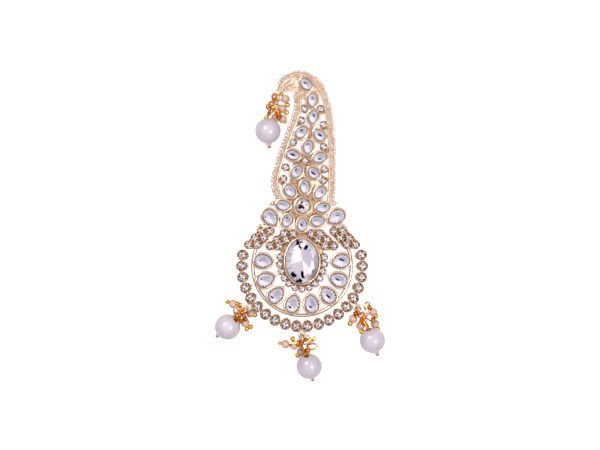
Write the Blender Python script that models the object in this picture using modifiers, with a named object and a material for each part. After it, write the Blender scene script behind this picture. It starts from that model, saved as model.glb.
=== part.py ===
"""Turban ornament: a crescent-tipped brooch of cast gold-coloured metal set with cut stones.

The ornament lies on its back with its front towards +Z and its tip towards +Y. All lengths are
metres. Places are worked out about the centre of the round disc, and the whole model is then
moved so that the middle of its footprint stands at the origin, with its lowest point at z = 0.
"""

import math
from collections import namedtuple

import bmesh
import bpy
from mathutils import Matrix, Vector

MM = 0.001
WELD = 0.002 * MM
FLAT_ANGLE = 0.5
ROUND_ANGLE = 40.0

# Stones
OVAL_WIDTH = 13.0 * MM
OVAL_LENGTH = 17.3 * MM
FLOWER_STONE_DIAMETER = 5.9 * MM
SMALL_DROP_WIDTH = 3.5 * MM
SMALL_DROP_LENGTH = 5.2 * MM
LARGE_DROP_WIDTH = 5.0 * MM
LARGE_DROP_LENGTH = 6.7 * MM
RIM_STONE_DIAMETER = 3.2 * MM
HALO_STONE_DIAMETER = 2.2 * MM
PAVE_STONE_DIAMETER = 2.7 * MM
NECK_STONE_DIAMETER = 2.6 * MM
SMALL_DROP_FULLNESS = 0.25
LARGE_DROP_FULLNESS = 0.4

# Metal round the stones
BEZEL_WALL = 0.5 * MM
OVAL_BEZEL_WALL = 0.45 * MM
RIM_CUP_WALL = 0.55 * MM
HALO_CUP_WALL = 0.2 * MM
PAVE_CUP_WALL = 0.25 * MM
NECK_CUP_WALL = 0.35 * MM
SIDE_GAP = 0.25 * MM
SEAT_GAP = 0.3 * MM
SETTING_GAP = 0.3 * MM
CUP_SPACING = 0.1 * MM
HALO_SPACING = 0.25 * MM
PAVE_SPACING = 0.45 * MM
DISC_DROP_SPACING = 0.9 * MM
HALO_TO_DROPS = 0.9 * MM
PLATE_MARGIN = 0.08 * MM

# Heights above the back of the casting; the thin parts behind lie a little in from it
FLOOR = 0.8 * MM
CUP_SETBACK = 0.05 * MM
RING_SETBACK = 0.1 * MM
LEDGE_SETBACK = 0.15 * MM
WEB_SETBACK = 0.2 * MM
BRIDGE_SETBACK = 0.25 * MM
LEDGE_THICKNESS = 0.6 * MM
WEB_THICKNESS = 0.5 * MM
BRIDGE_THICKNESS = 0.4 * MM
BEZEL_HEIGHT = 2.6 * MM
OVAL_BEZEL_HEIGHT = 3.4 * MM
RING_HEIGHT = 1.9 * MM
BORDER_HEIGHT = 2.0 * MM
GIRDLE_ABOVE_FLOOR = 1.3 * MM
SMALL_CROWN = 1.2 * MM
LARGE_CROWN = 1.4 * MM
OVAL_CROWN = 1.9 * MM
RIM_CUP_HEIGHT = 2.1 * MM
NECK_CUP_HEIGHT = 2.3 * MM
GRAIN_HEIGHT = 1.4 * MM
GRAIN_BASE = 0.05 * MM
BOSS_HEIGHT = 1.5 * MM
FIELD_THICKNESS = 0.5 * MM
CUP_CROWN = 0.6 * MM
CUP_TABLE_SHARE = 0.5

# Disc
RING_WIDTH = 1.3 * MM
RING_ENDS = 25.0
RIM_GAP = 1.65 * MM
WING_TO_RIM = 0.91 * MM
OVAL_RISE = 2.0 * MM
DISC_DROP_COUNT = 8
RIM_COUNT = 20
HALO_COUNT = 13
BRIDGE_WIDTH = 1.5 * MM
SPINE_WIDTH = 3.2 * MM
STRIP_WIDTH = 1.2 * MM
TAB_WIDTH = 1.0 * MM
TABBED = (2, 7, 12, 17)

# Neck
FLOWER_LEAN = 0.45 * MM
FLOWER_STANDOFF = 1.5 * MM
PETAL_GAP = 0.3 * MM
BORDER_WIDTH = 2.9 * MM
CHANNEL_WIDTH = 0.9 * MM
RAIL_WIDTH = 0.6 * MM
RIDGE_HEIGHT = 1.8 * MM
CHANNEL_HEIGHT = 1.2 * MM
BORDER_SLOPE = 0.3 * MM
BOSS_DIAMETER = 2.0 * MM
BOSS_SINK = 0.3

# Eyes, rings and drops
EYE_RADIUS = 1.15 * MM
EYE_WIRE = 0.8 * MM
EYE_STEM = 0.8 * MM
EYE_STEM_HEIGHT = 0.5 * MM
EYE_STANDOFF = 0.75 * MM
EYE_ABOVE_BACK = 0.8 * MM
JUMP_RING_RADIUS = 1.7 * MM
JUMP_RING_WIRE = 0.7 * MM
LOOP_RADIUS = 1.15 * MM
LOOP_WIRE = 0.7 * MM
HEADPIN_WIRE = 0.7 * MM
BEAD_PIN_WIRE = 0.5 * MM
PEARL_DIAMETER = 10.0 * MM
PEARL_BORE_GAP = 0.3 * MM
HEADPIN_LEAD = 0.8 * MM
NUB_DIAMETER = 1.7 * MM
HEAD_DIAMETER = 1.2 * MM
SMALL_BEAD_DIAMETER = 3.4 * MM

# Brooch pin on the back
PIN_HEIGHT = 4.7 * MM
PIN_LENGTH = 34.0 * MM
PIN_WIDTH = 3.2 * MM
PIN_PLATE = 0.9 * MM
PIN_FOOT = 3.0 * MM
PIN_STEM_WIRE = 1.0 * MM
PIN_STEM_HEIGHT = 1.6 * MM
PIN_MIDDLE = 9.0 * MM

# Sides of the round and pointed shapes
CUP_SIDES = 8
HEAD_SIDES = 5
ROUND_SIDES = 10
RING_STEPS = 20
PLATE_SIDES = 8
BORDER_STEPS = 2
PEARL_SIDES = 12
PEARL_BANDS = 7
SMALL_DROP_SIDES = 10
LARGE_DROP_SIDES = 12
OVAL_SIDES = 18
LINK_SIDES = 10
LINK_WIRE_SIDES = 5

# Crowns of the cut stones, from the girdle up: each level's share of the outline and of the height
Facet = namedtuple("Facet", "share rise")
SINGLE_CUT = [Facet(0.55, 1.0)]
DOUBLE_CUT = [Facet(0.84, 0.62), Facet(0.5, 1.0)]
BASE_SHARE = 0.86

Finish = namedtuple("Finish", "colour roughness metallic")
FINISHES = {
    "pale_gold": Finish((0.83, 0.62, 0.42), 0.28, 1.0),
    "deep_gold": Finish((0.80, 0.43, 0.12), 0.22, 1.0),
    "clear_crystal": Finish((0.88, 0.87, 0.93), 0.06, 0.0),
    "foiled_crystal": Finish((0.78, 0.74, 0.84), 0.12, 0.2),
    "pearl": Finish((0.86, 0.83, 0.90), 0.18, 0.0),
}

# Each drop-shaped setting: the middle of its length and the way its point faces, in degrees
Setting = namedtuple("Setting", "name place tip")

# Petals round a round stone: where they stand, how much further out as a share of a bezel's
# length, and how far their point is turned from facing the middle
Petal = namedtuple("Petal", "name angle further turn")
FLOWER_PETALS = [
    Petal("flower_drop_1", 84.7, 0.00, 5.0),
    Petal("flower_drop_2", 131.7, 0.07, -5.0),
    Petal("flower_drop_3", 177.8, 0.06, -3.0),
    Petal("flower_drop_4", 222.8, 0.15, 15.0),
    Petal("flower_drop_5", 266.6, 0.00, 5.0),
    Petal("flower_drop_6", 313.8, 0.13, -129.0),
    Petal("flower_drop_7", 354.7, 0.05, 9.0),
    Petal("flower_drop_8", 37.9, 0.15, 7.0),
]
STAR_PETALS = [
    Petal("star_drop_1", 78.0, 0.02, 6.0),
    Petal("star_drop_2", 155.1, 0.00, 10.0),
    Petal("star_drop_3", 232.8, 0.02, -3.0),
    Petal("star_drop_4", 303.8, 0.07, 6.0),
    Petal("star_drop_5", 11.2, 0.06, 4.0),
]

# The two large drops by the flower, and how far they stand out as a share of their length
Shoulder = namedtuple("Shoulder", "name angle tip")
SHOULDERS = [
    Shoulder("shoulder_drop_left", 199.5, 306.0),
    Shoulder("shoulder_drop_right", 341.5, 213.0),
]
SHOULDER_REACH = 0.36

# Wings: where they start and how they spread, in pitches of their stones, and how their rows run
WING_START = 0.95
WING_SPREAD = 2.45
WING_RISE = 0.27
INNER_ROW_ANGLE = 221.5
OUTER_ROW_ANGLE = 226.5

# Places on the neck as shares of a small bezel's length, across and up from the star's middle
STAR_ACROSS, STAR_UP = 0.12, 1.05
NeckDrop = namedtuple("NeckDrop", "name across up tip")
NECK_DROPS = [
    NeckDrop("pair_drop_left", -0.22, 1.67, 45.0),
    NeckDrop("pair_drop_right", 0.83, 1.49, 135.0),
    NeckDrop("crest_drop_3", 0.46, 2.55, 262.0),
    NeckDrop("crest_drop_2", 0.42, 3.54, 272.0),
    NeckDrop("crest_drop_1", 0.05, 4.48, 135.0),
]
NeckPoint = namedtuple("NeckPoint", "across up")
NECK_ROUNDS = [
    NeckPoint(0.00, 0.00),
    NeckPoint(-0.05, 3.03),
    NeckPoint(0.91, 3.05),
    NeckPoint(-0.22, 2.37),
    NeckPoint(1.07, 2.12),
    NeckPoint(-0.71, 1.08),
    NeckPoint(1.08, 0.82),
    NeckPoint(-1.14, -0.37),
    NeckPoint(1.12, -0.49),
    NeckPoint(-1.27, -1.05),
    NeckPoint(1.05, -1.16),
]
BORDER_RIGHT = [
    NeckPoint(1.50, -2.45),
    NeckPoint(1.56, -1.43),
    NeckPoint(1.59, -0.04),
    NeckPoint(1.55, 1.24),
    NeckPoint(1.43, 2.43),
    NeckPoint(1.21, 3.61),
    NeckPoint(0.68, 4.64),
    NeckPoint(-0.26, 5.10),
    NeckPoint(-1.24, 4.78),
    NeckPoint(-1.49, 4.13),
]
BORDER_LEFT = [
    NeckPoint(-0.46, 3.97),
    NeckPoint(-0.43, 3.40),
    NeckPoint(-0.51, 2.72),
    NeckPoint(-1.09, 1.18),
    NeckPoint(-1.59, -0.28),
    NeckPoint(-1.79, -1.20),
    NeckPoint(-1.68, -1.84),
    NeckPoint(-1.50, -2.28),
]
BOSSES = [
    NeckPoint(-1.90, -2.50),
    NeckPoint(1.71, -2.51),
]

# Rounded plates behind the neck, each the hull of some circles
PlateCircle = namedtuple("PlateCircle", "across up radius")
NECK_PLATES = {
    "star": [
        PlateCircle(0.15, 0.50, 0.20),
        PlateCircle(-0.50, 0.25, 0.15),
        PlateCircle(0.62, 0.10, 0.15),
        PlateCircle(-0.75, -1.45, 0.20),
        PlateCircle(0.25, -1.45, 0.35),
    ],
    "tip": [
        PlateCircle(-1.28, 4.30, 0.24),
        PlateCircle(-1.05, 4.62, 0.24),
        PlateCircle(-0.55, 4.40, 0.30),
        PlateCircle(-0.25, 4.75, 0.30),
    ],
    "crest": [
        PlateCircle(-0.42, 4.10, 0.20),
        PlateCircle(-0.30, 4.70, 0.30),
        PlateCircle(0.40, 4.60, 0.30),
        PlateCircle(0.55, 4.05, 0.30),
        PlateCircle(0.00, 3.75, 0.18),
    ],
}
# Metal bridges behind the neck, from one place to the next
BRIDGES = [
    (NeckPoint(-0.22, 1.67), NeckPoint(0.83, 1.49)),
    (NeckPoint(0.15, 0.80), NeckPoint(0.46, 2.55)),
    (NeckPoint(0.46, 2.55), NeckPoint(0.42, 3.54)),
    (NeckPoint(0.42, 3.54), NeckPoint(0.05, 4.48)),
]

# Hanging drops: where each hangs from, the way its chain runs, how far the pearl's skin lies from
# the loop as a share of its diameter, and the ways of the pearl and of its pin
Hanger = namedtuple("Hanger", "name chain pearl_away pearl_angle pin droop")
HANGERS = [
    Hanger("left", 217.0, 0.28, 228.1, 221.6, 33.0),
    Hanger("bottom", 259.0, 0.50, 290.4, 284.0, 33.0),
    Hanger("right", 301.0, 0.62, 294.3, 290.8, 26.0),
    Hanger("top", 247.5, 0.69, 255.8, 274.5, 5.0),
]
RIM_EYES = {"left": 4.5, "bottom": 9.5, "right": 14.5}
TOP_EYE = NeckPoint(-1.56, 3.97)

# Small beads by each pearl, as shares of a bead's diameter: how far from the loop, and how high
# the middle of the bead lies above the surface, with the way the bead's pin runs
SmallBead = namedtuple("SmallBead", "hanger away angle height")
SMALL_BEADS = [
    SmallBead("left", 1.37, 138.0, 1.55),
    SmallBead("left", 1.10, 354.0, 0.60),
    SmallBead("left", 1.36, 289.0, 0.88),
    SmallBead("bottom", 1.78, 184.0, 1.45),
    SmallBead("bottom", 1.00, 216.0, 1.10),
    SmallBead("bottom", 1.15, 272.0, 0.56),
    SmallBead("right", 1.48, 10.0, 1.50),
    SmallBead("right", 2.08, 326.5, 0.62),
    SmallBead("right", 1.03, 211.0, 1.40),
    SmallBead("top", 1.34, 3.0, 1.50),
    SmallBead("top", 1.12, 312.0, 1.30),
    SmallBead("top", 2.31, 292.0, 1.25),
]

# Sizes that follow from the ones above
BACK = PIN_HEIGHT + SEAT_GAP
LIP = BACK + BEZEL_HEIGHT
SEAT_LEVEL = BACK + FLOOR + SEAT_GAP
EYE_LEVEL = BACK + EYE_ABOVE_BACK
ABOVE_ALL = LIP + OVAL_BEZEL_HEIGHT + OVAL_CROWN
BEZEL_GROWTH = SIDE_GAP + BEZEL_WALL
OVAL_GROWTH = SIDE_GAP + OVAL_BEZEL_WALL
SMALL_BEZEL_LENGTH = SMALL_DROP_LENGTH + 2 * BEZEL_GROWTH
LARGE_BEZEL_LENGTH = LARGE_DROP_LENGTH + 2 * BEZEL_GROWTH
LARGE_BEZEL_WIDTH = LARGE_DROP_WIDTH + 2 * BEZEL_GROWTH
FLOWER_BEZEL_RADIUS = FLOWER_STONE_DIAMETER / 2 + BEZEL_GROWTH
RIM_CUP_RADIUS = RIM_STONE_DIAMETER / 2 + RIM_CUP_WALL
HALO_CUP_RADIUS = HALO_STONE_DIAMETER / 2 + HALO_CUP_WALL
PAVE_CUP_RADIUS = PAVE_STONE_DIAMETER / 2 + PAVE_CUP_WALL
NECK_CUP_RADIUS = NECK_STONE_DIAMETER / 2 + NECK_CUP_WALL
HALO_GROWTH = OVAL_GROWTH + SETTING_GAP + HALO_CUP_RADIUS
HALO_HALF_WIDTH = OVAL_WIDTH / 2 + HALO_GROWTH
HALO_HALF_LENGTH = OVAL_LENGTH / 2 + HALO_GROWTH
HALO_REACH = HALO_HALF_LENGTH + HALO_CUP_RADIUS - OVAL_RISE
DISC_DROP_RADIUS = HALO_REACH + HALO_TO_DROPS + LARGE_BEZEL_LENGTH / 2
RING_RADIUS = DISC_DROP_RADIUS + LARGE_BEZEL_LENGTH / 2
RING_OUTSIDE = RING_RADIUS + RING_WIDTH / 2
RIM_RADIUS = RING_OUTSIDE + RIM_GAP + RIM_CUP_RADIUS
PETAL_REACH = PETAL_GAP + SMALL_BEZEL_LENGTH / 2
FLOWER_RING_RADIUS = FLOWER_BEZEL_RADIUS + PETAL_REACH
STAR_RING_RADIUS = NECK_CUP_RADIUS + PETAL_REACH
OVAL_TOP = OVAL_RISE + OVAL_LENGTH / 2 + OVAL_GROWTH
OVAL_MIDDLE = Vector((0.0, OVAL_RISE))
FLOWER_MIDDLE = Vector((FLOWER_LEAN,
                        OVAL_TOP + FLOWER_STANDOFF + FLOWER_RING_RADIUS + SMALL_BEZEL_LENGTH / 2))
STAR_MIDDLE = FLOWER_MIDDLE + Vector((STAR_ACROSS * SMALL_BEZEL_LENGTH,
                                      FLOWER_RING_RADIUS + SMALL_BEZEL_LENGTH * (0.5 + STAR_UP)))
PAVE_PITCH = 2 * PAVE_CUP_RADIUS + PAVE_SPACING
FIELD_GROWTH = PAVE_CUP_RADIUS + PLATE_MARGIN
PEARL_RADIUS = PEARL_DIAMETER / 2


def clear_scene():
    """Empty the scene of its objects."""
    for thing in list(bpy.data.objects):
        bpy.data.objects.remove(thing)


def new_collection(name, parent):
    """A collection linked under its parent."""
    collection = bpy.data.collections.new(name)
    parent.children.link(collection)
    return collection


def new_material(name, finish):
    """A material with one finish's colour, roughness and metallic value."""
    material = bpy.data.materials.new(name)
    material.use_nodes = True
    shader = material.node_tree.nodes["Principled BSDF"]
    shader.inputs["Base Color"].default_value = (*finish.colour, 1.0)
    shader.inputs["Roughness"].default_value = finish.roughness
    shader.inputs["Metallic"].default_value = finish.metallic
    return material


def polar(radius, degrees, middle=Vector((0.0, 0.0))):
    """The point at a radius and an angle about a middle."""
    turn = math.radians(degrees)
    return middle + Vector((radius * math.cos(turn), radius * math.sin(turn)))


def at(point, level=0.0, degrees=0.0):
    """A placing matrix: turned about Z, then moved to a point and a level."""
    return Matrix.Translation((*point, level)) @ Matrix.Rotation(math.radians(degrees), 4, "Z")


def along(start, way):
    """A placing matrix at a start, with its Z axis along a way."""
    return Matrix.Translation(start) @ way.to_track_quat("Z", "Y").to_matrix().to_4x4()


def neck_point(share):
    """A place on the neck, from its shares of a small bezel's length."""
    return STAR_MIDDLE + Vector((share.across, share.up)) * SMALL_BEZEL_LENGTH


def nearest(point, others):
    """The place among others that lies nearest a point."""
    return min(others, key=lambda other: (other - point).length)


def drop_outline(length, width, fullness, sides):
    """Outline of a drop whose point faces +X and whose length has its middle at the origin."""
    peak = 2 * math.sqrt(((fullness + 1) / (fullness + 2)) ** (fullness + 1) / (fullness + 2))
    outline = []
    for step in range(sides):
        turn = 2 * math.pi * step / sides
        bulge = math.sin(turn) * math.sin(turn / 2) ** fullness / peak
        outline.append((length / 2 * math.cos(turn), width / 2 * bulge))
    return outline


def oval_outline(width, length, sides):
    """Outline of an ellipse, width along X and length along Y."""
    turns = [2 * math.pi * step / sides for step in range(sides)]
    return [(width / 2 * math.cos(turn), length / 2 * math.sin(turn)) for turn in turns]


def small_drop(growth, share=1.0):
    """Outline of a small drop, grown on every side and then taken as a share."""
    return drop_outline((SMALL_DROP_LENGTH + 2 * growth) * share, (SMALL_DROP_WIDTH + 2 * growth) * share,
                        SMALL_DROP_FULLNESS, SMALL_DROP_SIDES)


def large_drop(growth, share=1.0):
    """Outline of a large drop, grown on every side and then taken as a share."""
    return drop_outline((LARGE_DROP_LENGTH + 2 * growth) * share, (LARGE_DROP_WIDTH + 2 * growth) * share,
                        LARGE_DROP_FULLNESS, LARGE_DROP_SIDES)


def oval_stone(growth, share=1.0):
    """Outline of the oval stone, grown on every side and then taken as a share."""
    return oval_outline((OVAL_WIDTH + 2 * growth) * share, (OVAL_LENGTH + 2 * growth) * share, OVAL_SIDES)


def flower_stone(growth, share=1.0):
    """Outline of the flower's round stone, grown on every side and then taken as a share."""
    size = (FLOWER_STONE_DIAMETER + 2 * growth) * share
    return oval_outline(size, size, LARGE_DROP_SIDES)


def band_outline(line, width):
    """Outline of a flat band of some width along a line of points."""
    left, right = [], []
    for index, point in enumerate(line):
        run = line[min(index + 1, len(line) - 1)] - line[max(index - 1, 0)]
        side = run.orthogonal().normalized() * width / 2
        left.append(point + side)
        right.append(point - side)
    return left + right[::-1]


def smooth_line(points, steps):
    """Points of a smooth line through some points, with a number of steps between each two."""
    ends = [2 * points[0] - points[1], *points, 2 * points[-1] - points[-2]]
    line = []
    for before, start, end, after in zip(ends, ends[1:], ends[2:], ends[3:]):
        for step in range(steps):
            t = step / steps
            line.append(0.5 * (2 * start + (end - before) * t
                               + (2 * before - 5 * start + 4 * end - after) * t ** 2
                               + (3 * start - before - 3 * end + after) * t ** 3))
    return line + [points[-1]]


def turns_left(first, middle, last):
    """Whether three points turn left."""
    return (middle - first).cross(last - middle) > 0.0


def hull_outline(circles, sides):
    """Convex outline round some circles, each a middle and a radius."""
    points = []
    for middle, radius in circles:
        points += [polar(radius, 360 * step / sides, middle) for step in range(sides)]
    ordered = sorted(points, key=lambda point: (point.x, point.y))
    outline = []
    for run in (ordered, ordered[::-1]):
        half = []
        for point in run:
            while len(half) > 1 and not turns_left(half[-2], half[-1], point):
                half.pop()
            half.append(point)
        outline += half[:-1]
    return outline


def evaluated_mesh(thing, name):
    """The evaluated mesh of a loose object, with its seams welded, in place of the object."""
    bpy.context.scene.collection.objects.link(thing)
    depsgraph = bpy.context.evaluated_depsgraph_get()
    mesh = bpy.data.meshes.new_from_object(thing.evaluated_get(depsgraph))
    bpy.data.objects.remove(thing)
    mesh.name = name
    shape = bmesh.new()
    shape.from_mesh(mesh)
    bmesh.ops.remove_doubles(shape, verts=shape.verts, dist=WELD)
    bmesh.ops.dissolve_limit(shape, angle_limit=math.radians(FLAT_ANGLE), verts=shape.verts,
                             edges=shape.edges)
    bmesh.ops.recalc_face_normals(shape, faces=shape.faces)
    shape.to_mesh(mesh)
    shape.free()
    return rounded(mesh)


def rounded(mesh):
    """The mesh, shaded smooth but for its true edges."""
    mesh.shade_smooth()
    mesh.set_sharp_from_angle(angle=math.radians(ROUND_ANGLE))
    return mesh


def new_curve(name, points, dimensions, cyclic=False):
    """A curve of straight runs between some points."""
    curve = bpy.data.curves.new(name, "CURVE")
    curve.dimensions = dimensions
    spline = curve.splines.new("POLY")
    spline.points.add(len(points) - 1)
    for point, place in zip(spline.points, points):
        point.co = (*Vector(place).to_3d(), 1.0)
    spline.use_cyclic_u = cyclic
    return curve


def flat_mesh(name, outline, low, high):
    """A flat outline made solid between two levels."""
    curve = new_curve(name, outline, "2D", cyclic=True)
    curve.fill_mode = "BOTH"
    curve.extrude = (high - low) / 2
    mesh = evaluated_mesh(bpy.data.objects.new(name, curve), name)
    mesh.transform(Matrix.Translation((0.0, 0.0, (high + low) / 2)))
    return mesh


def wire_mesh(name, points, wire, resolution=1):
    """A round wire along some points, of four sides and two more for each step of resolution."""
    curve = new_curve(name, points, "3D")
    curve.bevel_depth = wire / 2
    curve.bevel_resolution = resolution
    curve.use_fill_caps = True
    return evaluated_mesh(bpy.data.objects.new(name, curve), name)


def lofted_mesh(name, sections):
    """A solid lofted through flat sections, each an outline and its level, from low to high."""
    shape = bmesh.new()
    rings = [[shape.verts.new((x, y, level)) for x, y in outline] for outline, level in sections]
    for low, high in zip(rings, rings[1:]):
        for index, corner in enumerate(low):
            follow = (index + 1) % len(low)
            shape.faces.new((corner, low[follow], high[follow], high[index]))
    shape.faces.new(rings[0][::-1])
    shape.faces.new(rings[-1])
    mesh = bpy.data.meshes.new(name)
    shape.to_mesh(mesh)
    shape.free()
    return mesh


def turned_mesh(name, profile, sides, closed=False):
    """A solid turned about Z from a profile of (radius, level) that runs from top to bottom."""
    mesh = bpy.data.meshes.new(name)
    edges = [(index, index + 1) for index in range(len(profile) - 1)]
    if closed:
        edges.append((len(profile) - 1, 0))
    mesh.from_pydata([(radius, 0.0, level) for radius, level in profile], edges, [])
    thing = bpy.data.objects.new(name, mesh)
    screw = thing.modifiers.new("Screw", "SCREW")
    screw.steps = screw.render_steps = sides
    screw.use_merge_vertices = True
    screw.merge_threshold = WELD
    return evaluated_mesh(thing, name)


def link_mesh(name, radius, wire):
    """A round link of round wire, lying flat."""
    bpy.ops.mesh.primitive_torus_add(major_radius=radius, minor_radius=wire / 2,
                                     major_segments=LINK_SIDES, minor_segments=LINK_WIRE_SIDES)
    thing = bpy.context.active_object
    mesh = thing.data
    mesh.name = name
    bpy.data.objects.remove(thing)
    return rounded(mesh)


def box_mesh(name, size):
    """A box of some size, centred on the origin."""
    shape = bmesh.new()
    bmesh.ops.create_cube(shape, size=1.0)
    bmesh.ops.scale(shape, vec=size, verts=shape.verts)
    mesh = bpy.data.meshes.new(name)
    shape.to_mesh(mesh)
    shape.free()
    return mesh


def bar_between(start, end, width, low, high):
    """A straight flat bar between two points and two levels, as a placed mesh."""
    run = end - start
    bar = box_mesh("bar", (run.length, width, high - low))
    return bar, at((start + end) / 2, (high + low) / 2, math.degrees(math.atan2(run.y, run.x)))


def bridge(start, end):
    """A narrow bar behind the settings, from one middle to another."""
    low = BACK + BRIDGE_SETBACK
    return bar_between(start, end, BRIDGE_WIDTH, low, low + BRIDGE_THICKNESS)


def chaton_mesh(name, radius, low, high):
    """A set stone, fused to its cup: a table and a crown that runs into the cup's wall."""
    table = high + CUP_CROWN
    profile = [(0.0, table), (CUP_TABLE_SHARE * radius, table), (radius, high), (radius, low), (0.0, low)]
    return turned_mesh(name, profile, CUP_SIDES)


def bead_mesh(name, diameter, sides):
    """A round bead turned about Z, in three bands."""
    bands = 3
    turns = [math.pi * band / bands for band in range(bands + 1)]
    profile = [(diameter / 2 * math.sin(turn), diameter / 2 * math.cos(turn)) for turn in turns[1:-1]]
    return turned_mesh(name, [(0.0, diameter / 2), *profile, (0.0, -diameter / 2)], sides)


def pearl_mesh():
    """A round pearl drilled through along Z."""
    bore = HEADPIN_WIRE / 2 + PEARL_BORE_GAP
    start = math.asin(bore / PEARL_RADIUS)
    profile = []
    for band in range(PEARL_BANDS + 1):
        turn = start + (math.pi - 2 * start) * band / PEARL_BANDS
        profile.append((PEARL_RADIUS * math.sin(turn), PEARL_RADIUS * math.cos(turn)))
    return turned_mesh("pearl", profile, PEARL_SIDES, closed=True)


def stone_mesh(name, outline, floor, crown, facets):
    """A cut stone for its bezel: a base, a girdle, the crown's facets and a table."""
    girdle = floor - SEAT_GAP + GIRDLE_ABOVE_FLOOR
    sections = [(outline(0.0, facet.share), girdle + facet.rise * crown) for facet in facets]
    return lofted_mesh(name, [(outline(0.0, BASE_SHARE), floor), (outline(0.0), girdle), *sections])


def border_mesh(name, shares):
    """One beaded border: an outer ridge, a channel and an inner rail along a smooth line."""
    half = BORDER_WIDTH / 2
    rail = RAIL_WIDTH - half
    channel = rail + BORDER_SLOPE
    section = [(-half, 0.0), (half, 0.0), (half, RIDGE_HEIGHT), (channel + CHANNEL_WIDTH, BORDER_HEIGHT),
               (channel + CHANNEL_WIDTH - BORDER_SLOPE, CHANNEL_HEIGHT), (channel, CHANNEL_HEIGHT),
               (rail, BORDER_HEIGHT), (-half, RIDGE_HEIGHT)]
    outline = new_curve(f"{name} section", section, "2D", cyclic=True)
    guide = bpy.data.objects.new(f"{name} section", outline)
    bpy.context.scene.collection.objects.link(guide)
    line = smooth_line([neck_point(share) for share in shares], BORDER_STEPS)
    curve = new_curve(name, line, "2D")
    curve.bevel_mode = "OBJECT"
    curve.bevel_object = guide
    curve.use_fill_caps = True
    mesh = evaluated_mesh(bpy.data.objects.new(name, curve), name)
    bpy.data.objects.remove(guide)
    mesh.transform(Matrix.Translation((0.0, 0.0, BACK + RING_SETBACK)))
    return mesh


def petal_settings(petals, middle, radius):
    """Drop settings round a middle, from their table."""
    settings = []
    for petal in petals:
        place = polar(radius + petal.further * SMALL_BEZEL_LENGTH, petal.angle, middle)
        settings.append(Setting(petal.name, place, petal.angle + 180.0 + petal.turn))
    return settings


def flower_settings():
    """The eight small drops of the flower."""
    return petal_settings(FLOWER_PETALS, FLOWER_MIDDLE, FLOWER_RING_RADIUS)


def star_settings():
    """The five small drops of the star."""
    return petal_settings(STAR_PETALS, STAR_MIDDLE, STAR_RING_RADIUS)


def crest_settings():
    """The small drops of the pair and of the column above it."""
    return [Setting(drop.name, neck_point(drop), drop.tip) for drop in NECK_DROPS]


def disc_settings():
    """The large drops round the oval, points inwards."""
    pitch = math.degrees((LARGE_BEZEL_WIDTH + DISC_DROP_SPACING) / DISC_DROP_RADIUS)
    settings = []
    for index in range(DISC_DROP_COUNT):
        angle = 270.0 + (index - (DISC_DROP_COUNT - 1) / 2) * pitch
        settings.append(Setting(f"disc_drop_{index + 1}", polar(DISC_DROP_RADIUS, angle), angle + 180.0))
    return settings


def shoulder_settings():
    """The two large drops beside the foot of the neck."""
    reach = FLOWER_RING_RADIUS + SMALL_BEZEL_LENGTH / 2 + SHOULDER_REACH * LARGE_BEZEL_LENGTH
    return [Setting(shoulder.name, polar(reach, shoulder.angle, FLOWER_MIDDLE), shoulder.tip)
            for shoulder in SHOULDERS]


def rim_angle(index):
    """Where a chaton of the rim stands; a half lies between two, and the ends clear the wings."""
    corner = wings()["pave_left_outer"][-1]
    clear = RIM_CUP_RADIUS + PAVE_CUP_RADIUS + WING_TO_RIM
    reach = corner.length
    turn = math.acos((RIM_RADIUS ** 2 + reach ** 2 - clear ** 2) / (2 * RIM_RADIUS * reach))
    start = math.degrees(math.atan2(corner.y, corner.x) + turn)
    return start + (270.0 - start) * index / ((RIM_COUNT - 1) / 2)


def halo_points():
    """Places of the halo's stones, evenly along an ellipse from its lowest point both ways."""
    step = math.radians(0.25)
    pitch = 2 * HALO_CUP_RADIUS + HALO_SPACING
    half = [OVAL_MIDDLE - Vector((0.0, HALO_HALF_LENGTH))]
    turn, run = 0.0, 0.0
    while len(half) <= HALO_COUNT // 2:
        run += step * math.hypot(HALO_HALF_WIDTH * math.cos(turn), HALO_HALF_LENGTH * math.sin(turn))
        turn += step
        if run >= pitch:
            run -= pitch
            half.append(OVAL_MIDDLE + Vector((HALO_HALF_WIDTH * math.sin(turn),
                                              -HALO_HALF_LENGTH * math.cos(turn))))
    return [Vector((-point.x, point.y)) for point in half[:0:-1]] + half


def wing_points(start, row_angle, side):
    """Places of one wing's six stones: two columns of three, on the left (-1) or right (1)."""
    points = []
    for column in range(2):
        for row in range(3):
            place = polar(row * PAVE_PITCH, row_angle, start) - Vector((column * PAVE_PITCH, 0.0))
            points.append(Vector((-side * place.x, place.y)))
    return points


def wings():
    """The four fields of small stones above the disc, by name."""
    across = -WING_START * PAVE_PITCH
    clear_width = OVAL_WIDTH / 2 + OVAL_GROWTH + PAVE_CUP_RADIUS + 2 * SETTING_GAP
    clear_length = OVAL_LENGTH / 2 + OVAL_GROWTH + PAVE_CUP_RADIUS + 2 * SETTING_GAP
    inner = OVAL_MIDDLE + Vector((across, clear_length * math.sqrt(1 - (across / clear_width) ** 2)))
    outer = inner + Vector((-WING_SPREAD * PAVE_PITCH, WING_RISE * PAVE_PITCH))
    fields = {}
    for side, word in ((-1, "left"), (1, "right")):
        fields[f"pave_{word}_inner"] = wing_points(inner, INNER_ROW_ANGLE, side)
        fields[f"pave_{word}_outer"] = wing_points(outer, OUTER_ROW_ANGLE, side)
    return fields


def hull_of(points, radius):
    """Outline round equal circles on some points."""
    return hull_outline([(point, radius) for point in points], CUP_SIDES)


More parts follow.
